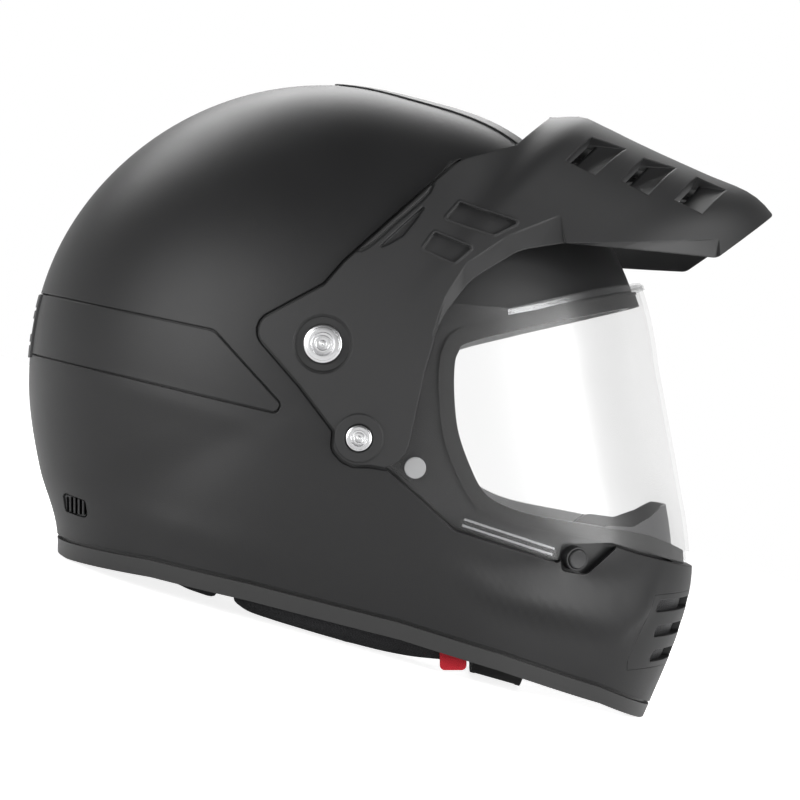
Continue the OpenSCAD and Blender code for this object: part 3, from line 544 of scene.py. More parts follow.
@dataclass(frozen=True)
class Form:
    """Rounded body over a side outline, with its poles on the pivot axis.

    Attributes:
        name: Name of the form.
        curve: Radius of the outline at an angle in degrees.
        half_width: Distance of the poles from the middle plane.
        relief: Extra height of the surface at a point (x, y, z), if any.
        fullness: Power of the rounding towards the poles, 2 for an ellipse.
    """

    name: str
    curve: Callable[[float], float]
    half_width: float
    relief: Callable[[float, float, float], float] | None = None
    fullness: float = 2.4

    def side_y(self, x: float, z: float) -> float:
        """Distance from the middle plane at a side position.

        Args:
            x: Place along the helmet.
            z: Height.

        Returns:
            The distance, 0 beyond the outline.
        """
        radius = self.curve(math.degrees(math.atan2(z, x)))
        share = (math.hypot(x, z) / radius) ** self.fullness
        return self.half_width * max(1 - share, 0.0) ** (1 / self.fullness)

    def normal(self, x: float, z: float, side: Side) -> Vector:
        """Direction square to the surface at a side position.

        Args:
            x: Place along the helmet.
            z: Height.
            side: Side of the helmet.

        Returns:
            A vector of length 1 that points outwards.
        """
        slope_x = self.side_y(x - 0.5, z) - self.side_y(x + 0.5, z)
        slope_z = self.side_y(x, z - 0.5) - self.side_y(x, z + 0.5)
        return Vector((slope_x, side.value, slope_z)).normalized()

    def lobe(self, out: float = 0.0, columns: int = 200, rows: int = 100) -> Solid:
        """The closed body, moved outwards by a distance.

        Args:
            out: Distance that the surface is moved out, negative for inwards.
            columns: Faces round the body.
            rows: Faces from pole to pole.

        Returns:
            The body.
        """
        key = (self.name, out, columns, rows)
        if key not in Lobes.made:
            bm = Lobes.ball(columns, rows)
            power = 2 / self.fullness
            spokes: dict[float, tuple[float, float]] = {}
            for vert in bm.verts:
                x, y, z = vert.co
                turn = round(math.degrees(math.atan2(y, x)), 3)
                if turn not in spokes:
                    reach, a = self.curve(turn) + out, math.radians(turn)
                    spokes[turn] = (reach * math.cos(a), reach * math.sin(a))
                lift = min(max(z, -1.0), 1.0)
                share = (1 - lift * lift) ** (power / 2)
                side = math.copysign((self.half_width + out) * abs(lift) ** power, lift)
                place = Vector((spokes[turn][0] * share, side, spokes[turn][1] * share))
                if self.relief:
                    place += place.normalized() * self.relief(*place)
                vert.co = place
            face_outwards(bm)
            mesh = bpy.data.meshes.new(self.name)
            bm.to_mesh(mesh)
            bm.free()
            Lobes.made[key] = mesh
        return Solid(Lobes.made[key].copy())

    def layer(self, top: float, bottom: float, bound: Solid, columns: int = 200, rows: int = 100) -> Solid:
        """What a bound holds between two distances from the surface."""
        return bound.keep(self.lobe(top, columns, rows)).cut(self.lobe(bottom, columns, rows))


def pocket(form: Form, line: list[Vector], depth: float, flare: float) -> Solid:
    """Cutter with sloping sides and a flat floor, square to a form on the wearer's right.

    Args:
        form: Surface that it is sunk into.
        line: Convex outline in the side view.
        depth: Depth of the floor below the middle of the outline.
        flare: How far the floor is smaller than the opening.

    Returns:
        The cutter, which stands out of the surface.
    """
    lift = 3.0
    middle = sum(line, Vector((0, 0))) / len(line)
    out = form.normal(*middle, Side.RIGHT)
    rims = [Vector((p.x, -form.side_y(*p), p.y)) for p in line]
    centre = Vector((middle.x, -form.side_y(*middle), middle.y))
    points: list[Vector] = []
    for rim in rims:
        flat = rim - out * (rim - centre).dot(out)
        inward = (centre - flat).normalized()
        points.append(flat + inward * flare - out * depth)
        points.append(flat - inward * flare * lift / depth + out * lift)
    return hull(points)


@dataclass(frozen=True)
class Relief:
    """Low facets and creases moulded into the shell's side.

    Attributes:
        chin_low: Lower line of the chin's light facet, as (x, z).
        chin_top: Its upper line.
        ledge: Soft ridge under the rear panel.
        foot: Crease above the base at the rear.
        rise: Height of the chin's facet at its lower line.
        lean: Share of that height lost between the two lines, above 1 for a hollow.
        soft: Distance over which the facet and the hollow fade out.
        chin_ends: Where the facet starts and ends, and the lengths of its fades.
        middle: Half width of the plain part round the middle plane, and its fade.
        blur: Shifts over which the relief is averaged, so that its creases are soft.
    """

    chin_low: Points = (
        (44.1, -86.9), (77.2, -101.7), (105.5, -110), (127.6, -116.8), (136.9, -118.3),
        (146.1, -111.8), (155.6, -103.4), (159.2, -94.6),
    )  # fmt: skip
    chin_top: Points = (
        (44.1, -85.5), (77.2, -90), (107.8, -85.7), (113.3, -91.2), (125.8, -95.5), (136.4, -93.9),
        (145.7, -90.8), (159.2, -86.5),
    )  # fmt: skip
    ledge: Points = (
        (-150, 12), (-101.6, -0.5), (-67.1, -10.1), (-33.5, -19.6), (-12, -27),
    )  # fmt: skip
    foot: Points = (
        (-150, -44), (-123.2, -51.7), (-92, -62.1), (-67.3, -68.9), (-43.2, -74.5), (-15, -82),
    )  # fmt: skip
    rise: float = 3.1
    lean: float = 1.7
    soft: float = 7.0
    chin_ends: Points = ((44, 40), (159, 14))
    middle: tuple[float, float] = (20.0, 40.0)
    blur: tuple[float, ...] = (-3, -1.5, 0, 1.5, 3)

    def at(self, x: float, y: float, z: float) -> float:
        """Height of the relief at a point of the surface.

        Args:
            x: Place along the helmet.
            y: Place across it.
            z: Height.

        Returns:
            The height.
        """
        half, fade = self.middle
        if abs(y) < half:
            return 0.0
        side = eased((abs(y) - half) / fade)
        total = sum(self.chin(x, z + shift) + self.rear(x, z + shift) for shift in self.blur)
        return side * total / len(self.blur)

    def chin(self, x: float, z: float) -> float:
        """Facet that leans up above its lower line, with a hollow over it.

        Args:
            x: Place along the helmet.
            z: Height.

        Returns:
            Its height at the place.
        """
        low, top = (height_over(line, x, z) for line in (self.chin_low, self.chin_top))
        if low == OFF_LINE:
            return 0.0
        (start, rising), (end, falling) = self.chin_ends
        size = self.rise * eased((x - start) / rising) * eased((end - x) / falling)
        if low < 0:
            return size * eased(1 + low / self.soft)
        if top < 0:
            return size * (1 - self.lean * low / (low - top))
        return size * (1 - self.lean) * eased(1 - top / self.soft)

    def rear(self, x: float, z: float) -> float:
        """Soft ledge under the panel and the crease above the base.

        Args:
            x: Place along the helmet.
            z: Height.

        Returns:
            Their height at the place.
        """
        total = 0.0
        for line, size in ((self.ledge, 0.55), (self.foot, 0.6)):
            over = height_over(line, x, z)
            if over == OFF_LINE:
                continue
            ends = eased((x - line[0][0]) / 30) * eased((line[-1][0] - x) / 20)
            total += size * ends * (eased(1 + over / 14) if over < 0 else eased(1 - over / 4))
        return total


RELIEF = Relief()


@dataclass(frozen=True)
class Forms:
    """Surfaces and outlines that the sub-assemblies share, in millimetres in the worn frame."""

    shell_star: Star = Star(
        (
            (-180, 161.2), (-165, 161.3), (-152, 166), (-135, 203), (-120, 230), (-90, 238),
            (-65, 250), (-50, 231), (-44, 221.5), (-36, 211.5), (-30, 204.3), (-26, 198),
            (-10, 176), (8, 157.5), (22, 154.2), (57, 154), (75, 150.5), (92, 153.2),
            (112, 156.8), (134, 160), (155, 162),
        )
    )  # fmt: skip
    shield_star: Star = Star(
        (
            (-180, 160.6), (-60, 235), (-35, 213), (-27.4, 198.9), (-22, 188.6), (-16.6, 178.9),
            (-9.3, 169.6), (-2.7, 164), (5, 160.6), (60, 160.6), (120, 160.6),
        )
    )  # fmt: skip
    peak_star: Star = Star(
        (
            (-180, 172), (-90, 180), (-30, 195), (0, 218), (10, 233), (18.6, 237), (24.3, 231.6),
            (30, 214.5), (35, 202.5), (40, 193.5), (45, 187), (48.4, 183), (53, 171.5),
            (60, 168), (75, 168), (100, 168), (140, 170),
        )
    )  # fmt: skip
    room_star: Star = Star(
        (
            (-180, 112), (-150, 122), (-120, 165), (-90, 215), (-60, 220), (-35, 165), (0, 118),
            (30, 112), (60, 112), (90, 113), (120, 114), (150, 113),
        )
    )  # fmt: skip
    base_line: Points = (
        (-190, -66), (-141, -76), (-92, -83), (-43, -94), (28, -112.4), (76, -128),
        (126, -146.5), (152, -159), (190, -178),
    )  # fmt: skip
    shield_side: Sketch = Sketch(
        (
            (10, 9), (26, 21, 10), (52, 38.6, 8), (81, 36.4, 12), (96, 40, 12), (126, 47.2), (150, 51.4),
            (215, 63), (240, -109), (174, -90), (146, -82), (131, -77, 3), (106.3, -77, 1.2),
            (104.5, -85.1, 1.2), (54.6, -68.8, 8), (28.3, -45, 6), (21.2, -38.7, 4), (23, -26, 6),
            (19, -14, 8), (9, -9.5),
        )
    )  # fmt: skip
    port_side: Sketch = Sketch(
        (
            (52, 8), (54, 16), (60, 22), (90, 29.5), (108, 33.5), (150, 42.5), (215, 56),
            (230, -98), (152, -77.4), (126, -71.8), (92, -65.5), (75, -59.5), (66, -52.5),
            (59.5, -40), (54, -24), (52, -8),
        )
    )  # fmt: skip
    panel_side: Sketch = Sketch(
        (
            (-190, 53), (-150, 45.8), (-117.4, 38.4, 40), (-60, 26, 7), (-27.6, -9.6, 3.4),
            (-30.4, -14.4, 3), (-67, -5.8), (-107, 3.8), (-150, 13.6), (-190, 22.5),
        )
    )  # fmt: skip
    arm_side: Sketch = Sketch(
        (
            (-43.2, 27.6, 8), (-19.1, -0.3), (-2.6, -22.2, 2), (-3.4, -31, 6), (1, -36, 5), (6, -38.5, 6),
            (14, -38.5, 4), (21.2, -39.8, 2), (27, -37.5, 5), (31, -33, 5), (33.1, -26.7, 5),
            (40.2, 6.5, 60), (47.3, 30.3, 40), (61.7, 49.4, 30), (85.8, 64.1, 25), (107.5, 67.7, 4),
            (144, 64.6, 4), (183, 61.6, 6), (219, 87, 6), (216, 96), (203, 110), (112, 160),
            (104, 134.5, 8), (85, 117, 10), (57.4, 108.4, 16), (37.9, 90.6, 20), (2.2, 57.9, 4),
            (-7.3, 46.9, 4),
        )
    )  # fmt: skip
    upper_screw: tuple[float, float] = (-8.3, 18.9)
    lower_screw: tuple[float, float] = (8.8, -25.8)
    latch_at: tuple[float, float] = (35.5, -40.0)
    lock_at: tuple[float, float] = (114.2, -84.6)
    shield_t: float = 2.2
    ear_r: float = 13.0
    edge_gap: float = 1.3
    shield_open: float = 42.0
    shell_t: float = 4.0
    panel_t: float = 2.2
    peak_t: float = 3.0

    @property
    def shell(self) -> Form:
        """Outer face of the shell."""
        return Form("shell", self.shell_star.radius, 124.0, RELIEF.at)

    @property
    def shield(self) -> Form:
        """Outer face of the shield."""
        return Form("shield", self.shield_star.radius, 121.5)

    @property
    def core(self) -> Form:
        """Recessed face behind the shield."""
        return Form(
            "core",
            lambda a: min(self.shell_star.radius(a), self.shield_star.radius(a) - 4.8),
            116.7,
        )

    @property
    def peak(self) -> Form:
        """Outer face of the peak and its arms."""
        return Form(
            "peak",
            lambda a: max(self.peak_star.radius(a), self.shell_star.radius(a) + 3.3),
            127.3,
        )

    @property
    def room(self) -> Form:
        """Room for the head inside the liner."""
        return Form("room", self.room_star.radius, 84.0)

    def under(self, line: list[Vector]) -> Solid:
        """Everything lower than a line from the rear to the front."""
        corners = ((AHEAD, line[-1].y), (AHEAD, DEEP), (-AHEAD, DEEP), (-AHEAD, line[0].y))
        return prism(line + [Vector(corner) for corner in corners])

    def below(self, drop: float) -> Solid:
        """Everything lower than the base line moved down by a distance."""
        return self.under([Vector((x, z - drop)) for x, z in self.base_line])

    def under_floor(self) -> Solid:
        """Everything below the floor that the helmet stands on."""
        level, reach = -SHIFT.z * 1000 / math.cos(TILT), AHEAD - 1
        return self.under([Vector((x, level - x * math.tan(TILT))) for x in (-reach, reach)])

    def lock_place(self, side: Side, depth: float) -> Matrix:
        """Frame square to the shell at a lock, some way below its surface.

        Args:
            side: Side of the helmet.
            depth: Depth of its origin.

        Returns:
            The frame.
        """
        x, z = self.lock_at
        out = self.shell.normal(x, z, side)
        at = Vector((x, self.shell.side_y(x, z) * side.value, z))
        return Matrix.Translation(at - out * depth) @ out.to_track_quat("Z", "Y").to_matrix().to_4x4()

    def recess(self, grow: float, steps: int = 14) -> Solid:
        """Room that the shield and its ears sweep on their way up.

        Args:
            grow: Room left all round.
            steps: Steps of the swing.

        Returns:
            The room.
        """
        line = grown(self.shield_side.traced(), grow)
        swept = [
            prism([Matrix.Rotation(math.radians(self.shield_open * i / steps), 2) @ p for p in line])
            for i in range(steps + 1)
        ]
        ear = ring_line(0, 0, self.ear_r + grow, 64)
        notch = Sketch(((106, -74), (107.5, -89, 1), (118, -91, 4), (132, -79, 2), (132, -74)))
        return swept[0].join(*swept[1:], prism(ear), prism(grown(notch.traced(), grow)))


@dataclass(frozen=True)
class Finish:
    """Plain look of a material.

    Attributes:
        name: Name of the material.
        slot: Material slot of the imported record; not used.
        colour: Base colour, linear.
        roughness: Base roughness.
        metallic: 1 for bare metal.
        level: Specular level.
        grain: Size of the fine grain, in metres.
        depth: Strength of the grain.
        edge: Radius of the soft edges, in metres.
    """

    name: str
    slot: str
    colour: tuple[float, float, float]
    roughness: float = 0.5
    metallic: float = 0.0
    level: float = 0.5
    grain: float = 0.0006
    depth: float = 0.08
    edge: float = 0.0

    def material(self) -> bpy.types.Material:
        """The material, made on its first use.

        Returns:
            The material.
        """
        known = bpy.data.materials.get(self.name)
        if known:
            return known
        recipe = Recipe(self.name)
        self.build(recipe)
        return recipe.made

    def build(self, recipe: "Recipe") -> None:
        """Wires the nodes up.

        Args:
            recipe: Node tree that it fills.
        """
        place = recipe.place()
        speck = recipe.noise(place, 1 / self.grain, 2)
        cloud = recipe.noise(place, 24, 3)
        shade = (cloud - 0.5) * 0.12 + (speck - 0.5) * 0.06 + 1
        recipe.principled(
            colour=recipe.tinted(self.colour, shade),
            roughness=(cloud - 0.5) * 0.1 + (speck - 0.5) * 0.08 + self.roughness,
            metallic=self.metallic,
            level=self.level,
            normal=recipe.bumped(speck, self.depth, self.grain, self.edge),
        )


class Wire:
    """Value of a socket in a material, with plain arithmetic."""

    def __init__(self, recipe: "Recipe", socket: bpy.types.NodeSocket) -> None:
        """Remembers the recipe that the socket belongs to."""
        self.recipe, self.socket = recipe, socket

    def _math(self, operation: str, *values: "Wire | float") -> "Wire":
        """One maths node over a few values.

        Args:
            operation: What the node does.
            values: What it does it to.

        Returns:
            Its result.
        """
        node = self.recipe.node("ShaderNodeMath", operation=operation)
        for slot, value in zip(node.inputs, values):
            self.recipe.feed(slot, value)
        return Wire(self.recipe, node.outputs[0])

    def __add__(self, other: "Wire | float") -> "Wire":
        """Sum with a value or another wire."""
        return self._math("ADD", self, other)

    def __sub__(self, other: "Wire | float") -> "Wire":
        """Difference from a value or another wire."""
        return self._math("SUBTRACT", self, other)

    def __mul__(self, other: "Wire | float") -> "Wire":
        """Product with a value or another wire."""
        return self._math("MULTIPLY", self, other)

    def __radd__(self, other: float) -> "Wire":
        """Sum where the value stands first."""
        return self._math("ADD", other, self)

    def __rsub__(self, other: float) -> "Wire":
        """Difference where the value stands first."""
        return self._math("SUBTRACT", other, self)

    def __rmul__(self, other: float) -> "Wire":
        """Product where the value stands first."""
        return self._math("MULTIPLY", other, self)

    def sine(self) -> "Wire":
        """Sine of the value."""
        return self._math("SINE", self)

    def size(self) -> "Wire":
        """Value without its sign."""
        return self._math("ABSOLUTE", self)

    def above(self, limit: float) -> "Wire":
        """1 where the value is greater than a limit."""
        return self._math("GREATER_THAN", self, limit)

    def most(self, other: "Wire | float") -> "Wire":
        """Greater of two values."""
        return self._math("MAXIMUM", self, other)

    def least(self, other: "Wire | float") -> "Wire":
        """Smaller of two values."""
        return self._math("MINIMUM", self, other)

    def power(self, exponent: float) -> "Wire":
        """Value raised to a power."""
        return self._math("POWER", self, exponent)


class Recipe:
    """Node tree of one material."""

    def __init__(
        self,
        name: str,
        tree: bpy.types.NodeTree | None = None,
        end: str = "ShaderNodeOutputMaterial",
    ) -> None:
        """Starts an empty material, or empties a tree that exists.

        Args:
            name: Name of the new material.
            tree: Tree to use instead of a new material's.
            end: Kind of the output node.
        """
        if tree is None:
            self.made = bpy.data.materials.new(name)
            self.made.use_nodes = True
            tree = self.made.node_tree
        self.tree = tree
        self.tree.nodes.clear()
        self.out = self.node(end)

    def node(
        self, kind: str, /, links: dict[str, "Wire | float"] | None = None, **settings: object
    ) -> bpy.types.Node:
        """A node with its settings, and values or links for its inputs.

        Args:
            kind: Type of the node.
            links: Values or wires for its inputs, by name.
            settings: Settings of the node, which are set first.

        Returns:
            The node.
        """
        node = self.tree.nodes.new(kind)
        for name, value in settings.items():
            setattr(node, name, value)
        for name, value in (links or {}).items():
            self.feed(node.inputs[name], value)
        return node

    def feed(self, socket: bpy.types.NodeSocket, value: object) -> None:
        """Links a wire to a socket, or sets the socket's own value.

        Args:
            socket: Input of a node.
            value: Wire, socket or plain value.
        """
        if isinstance(value, Wire):
            self.tree.links.new(value.socket, socket)
        elif isinstance(value, bpy.types.NodeSocket):
            self.tree.links.new(value, socket)
        else:
            socket.default_value = value

    def place(self) -> bpy.types.NodeSocket:
        """Object coordinates, in metres in the row frame."""
        return self.node("ShaderNodeTexCoord").outputs["Object"]

    def axes(self, place: bpy.types.NodeSocket) -> tuple[Wire, Wire, Wire]:
        """The three coordinates of a place."""
        split = self.node("ShaderNodeSeparateXYZ", {"Vector": place})
        return tuple(Wire(self, s) for s in split.outputs)

    def noise(self, place: bpy.types.NodeSocket, scale: float, detail: float) -> Wire:
        """Soft noise between 0 and 1."""
        node = self.node("ShaderNodeTexNoise", {"Vector": place, "Scale": scale, "Detail": detail})
        return Wire(self, node.outputs[0])

    def tinted(self, colour: tuple[float, float, float], shade: Wire) -> bpy.types.NodeSocket:
        """A colour made lighter or darker by a value near 1.

        Args:
            colour: Colour, linear.
            shade: Factor.

        Returns:
            The socket of the new colour.
        """
        node = self.node("ShaderNodeVectorMath", {"Scale": shade}, operation="SCALE")
        node.inputs[0].default_value = colour
        return node.outputs[0]

    def bumped(self, height: Wire, depth: float, pitch: float, edge: float) -> bpy.types.NodeSocket:
        """Normal with a fine relief, and with softened edges if a radius is given.

        Args:
            height: Relief between 0 and 1.
            depth: Strength of the relief.
            pitch: Its real height, in metres.
            edge: Radius of the soft edges, in metres.

        Returns:
            The socket of the normal.
        """
        links = {"Height": height, "Strength": depth, "Distance": pitch}
        if edge:
            links["Normal"] = self.node("ShaderNodeBevel", {"Radius": edge}, samples=6).outputs[0]
        return self.node("ShaderNodeBump", links).outputs[0]

    def principled(
        self,
        colour: object,
        roughness: object,
        metallic: float,
        level: float,
        normal: object,
        alpha: object = 1.0,
    ) -> None:
        """Ends the tree in a principled surface.

        Args:
            colour: Base colour.
            roughness: Roughness.
            metallic: 1 for bare metal.
            level: Specular level.
            normal: Normal.
            alpha: Cover of the surface.
        """
        links = {
            "Base Color": colour,
            "Roughness": roughness,
            "Metallic": metallic,
            "Specular IOR Level": level,
            "Normal": normal,
            "Alpha": alpha,
        }
        shader = self.node("ShaderNodeBsdfPrincipled", links)
        self.feed(self.out.inputs["Surface"], shader.outputs[0])


@dataclass(frozen=True)
class Weave(Finish):
    """Knitted or woven cloth with a fine repeating relief."""

    pitch: float = 0.0016

    def build(self, recipe: Recipe) -> None:
        """Wires the nodes up.

        Args:
            recipe: Node tree that it fills.
        """
        place = recipe.place()
        x, y, z = recipe.axes(place)
        turn = 2 * math.pi / self.pitch
        first = (x * turn).sine() * (z * turn).sine()
        knit = (first + (y * turn).sine() * ((x + z) * turn).sine()) * 0.5
        cloud = recipe.noise(place, 30, 3)
        fluff = recipe.noise(place, 1 / self.grain, 3)
        shade = knit * 0.25 + (cloud - 0.5) * 0.3 + (fluff - 0.5) * 0.25 + 1
        recipe.principled(
            colour=recipe.tinted(self.colour, shade),
            roughness=self.roughness,
            metallic=0.0,
            level=self.level,
            normal=recipe.bumped(knit * 0.5 + fluff * 0.3, self.depth, self.pitch, self.edge),
        )


@dataclass(frozen=True)
class WireMesh(Finish):
    """Woven mesh that shows what lies behind it through its holes."""

    pitch: float = 0.0022
    wire: float = 0.42

    def build(self, recipe: Recipe) -> None:
        """Wires the nodes up.

        Args:
            recipe: Node tree that it fills.
        """
        place = recipe.place()
        turn = math.pi / self.pitch
        _, across, up = recipe.axes(place)
        first = ((across + up) * turn).sine().size()
        second = ((across - up) * turn).sine().size()
        solid = first.above(1 - self.wire).most(second.above(1 - self.wire))
        height = first.most(second)
        # The wires' colour carries painted light: a painted highlight along their raised crests and painted
        # shade towards their low edges.
        recipe.principled(
            colour=recipe.tinted(self.colour, height * 0.6 + 0.6),
            roughness=self.roughness,
            metallic=self.metallic,
            level=self.level,
            normal=recipe.bumped(height, 0.5, self.pitch, 0.0),
            alpha=solid,
        )


@dataclass(frozen=True)
class Clear(Finish):
    """Thin clear sheet that lets light through and mirrors at grazing angles."""

    haze: float = 0.03
    tint: float = 0.97
    cap: float = 0.1

    def build(self, recipe: Recipe) -> None:
        """Wires the nodes up.

        Args:
            recipe: Node tree that it fills.
        """
        place = recipe.place()
        cloud = recipe.noise(place, 18, 2)
        glass = recipe.node("ShaderNodeBsdfTransparent")
        glass.inputs["Color"].default_value = (self.tint, self.tint, self.tint, 1)
        links = {"Color": (*self.colour, 1), "Roughness": self.roughness}
        mirror = recipe.node("ShaderNodeBsdfGlossy", links)
        fresnel = recipe.node("ShaderNodeFresnel", {"IOR": 1.5})
        edge = Wire(recipe, fresnel.outputs[0]) * 0.8 - 0.018 + cloud * 0.008
        share = edge.most(0.0).least(self.cap) + self.haze
        mixed = recipe.node("ShaderNodeMixShader", {"Fac": share})
        recipe.feed(mixed.inputs[1], glass.outputs[0])
        recipe.feed(mixed.inputs[2], mirror.outputs[0])
        recipe.feed(recipe.out.inputs["Surface"], mixed.outputs[0])


@dataclass(frozen=True)
class Finishes:
    """All looks of the helmet."""

    shell: Finish = Finish("matte_black", "shell", (0.012, 0.012, 0.0125), 0.44, level=0.42, edge=0.0008)
    peak: Finish = Finish("matte_black_peak", "peak", (0.017, 0.017, 0.0175), 0.5, level=0.5, edge=0.0011)
    vent: Finish = Finish("vent_black", "vent_plastic", (0.012, 0.012, 0.013), 0.5, depth=0.15, edge=0.0012)
    trim: Finish = Finish("trim_rubber", "trim_rubber", (0.014, 0.014, 0.014), 0.48, depth=0.12, edge=0.0015)
    seal: Finish = Finish("seal_rubber", "seal_rubber", (0.016, 0.016, 0.0165), 0.36, depth=0.03, edge=0.0009)
    guard: Finish = Finish("guard_grey", "guard", (0.08, 0.08, 0.082), 0.5, depth=0.1, edge=0.0005)
    pale: Finish = Finish("pale_grey", "guard", (0.72, 0.72, 0.725), 0.6, depth=0.1, edge=0.0005)
    clear: Clear = Clear("clear_sheet", "clear", (1, 1, 1), 0.3, haze=0.0, tint=0.992)
    rim: Clear = Clear("clear_edge", "clear", (0.95, 0.96, 0.97), 0.2, haze=0.2, tint=0.86)
    brow: Clear = Clear("clear_brow", "clear", (0.9, 0.91, 0.92), 0.25, haze=0.08, tint=0.93)
    hub: Finish = Finish("hub_plastic", "mechanism", (0.02, 0.02, 0.021), 0.45, edge=0.0003)
    alloy: Finish = Finish(
        "turned_alloy", "alloy", (0.72, 0.72, 0.73), 0.24, 1.0, grain=0.0003, depth=0.03, edge=0.0002
    )
    latch: Finish = Finish("satin_latch", "latch", (0.36, 0.36, 0.365), 0.45, depth=0.03, edge=0.0003)
    brass: Finish = Finish("brass_insert", "brass", (0.55, 0.38, 0.14), 0.3, 1.0, depth=0.03)
    foam: Finish = Finish(
        "moulded_foam", "foam", (0.03, 0.03, 0.032), 0.85, grain=0.003, depth=0.3, edge=0.001
    )
    lining: Weave = Weave("lining_cloth", "lining", (0.035, 0.035, 0.037), 0.85, level=0.25, depth=0.35)
    red: Weave = Weave("red_cloth", "red_fabric", (0.6, 0.02, 0.035), 0.7, level=0.3, depth=0.3, pitch=0.0012)
    web: Weave = Weave("webbing", "webbing", (0.018, 0.018, 0.019), 0.75, level=0.3, depth=0.5, pitch=0.0014)
    steel: Finish = Finish(
        "steel", "steel", (0.58, 0.58, 0.6), 0.26, 1.0, grain=0.0004, depth=0.02, edge=0.0002
    )
    vent_mesh: WireMesh = WireMesh("vent_mesh", "mesh", (0.05, 0.05, 0.052), 0.45, 0.4)


LOOKS = Finishes()
FORMS = Forms()


class Bench:
    """Turns solids into finished pieces on the frame's bodies."""

    merge: float = 4e-6

    def __init__(self, frame: dict[str, object]) -> None:
        """Keeps the loaded frame."""
        self.frame = frame
        self.count = 0

    def finish(
        self,
        solid: Solid,
        name: str,
        look: Finish,
        stands_for: tuple[str, ...] = (),
        body: str = "helmet",
        sharp: float = 32.0,
        place: Matrix = WORN,
    ) -> bpy.types.Object:
        """Moves a solid to the row frame and makes it a piece.

        Args:
            solid: The shape, which is used up.
            name: Name of the piece.
            look: Its finish.
            stands_for: Construction nodes that it replaces.
            body: Body that it rides on.
            sharp: Angle in degrees above which an edge stays sharp.
            place: Turns the solid's frame into the row frame.

        Returns:
            The finished object.
        """
        obj, mesh = solid.obj, solid.obj.data
        bm = bmesh.new()
        bm.from_mesh(mesh)
        reach = self.merge / place.to_scale().x
        bmesh.ops.remove_doubles(bm, verts=bm.verts, dist=reach)
        bmesh.ops.dissolve_degenerate(bm, edges=bm.edges, dist=reach)
        bmesh.ops.transform(bm, matrix=place, verts=bm.verts)
        for face in bm.faces:
            face.smooth = True
        bm.to_mesh(mesh)
        bm.free()
        mesh.set_sharp_from_angle(angle=math.radians(sharp))
        mesh.materials.clear()
        mesh.materials.append(look.material())
        obj.name = mesh.name = name
        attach(obj, body)
        if stands_for:
            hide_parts(*stands_for)
        self.count += 1
        log.info("%s: %d faces", name, len(mesh.polygons))
        return obj

    def copy(self, node: str) -> bmesh.types.BMesh:
        """Merged copy of a construction node, in the row frame in metres.

        Args:
            node: Name of the construction node.

        Returns:
            A loose mesh.
        """
        bm = bmesh.new()
        bm.from_mesh(self.frame["nodes"][node].data)
        bmesh.ops.remove_doubles(bm, verts=bm.verts, dist=1e-6)
        return bm

    def dress(self, nodes: tuple[str, ...], look: Finish) -> None:
        """Gives construction nodes that stay in view a finish.

        Args:
            nodes: Names of the construction nodes.
            look: Their finish.
        """
        for name in nodes:
            mesh = self.frame["nodes"][name].data
            mesh.materials.clear()
            mesh.materials.append(look.material())


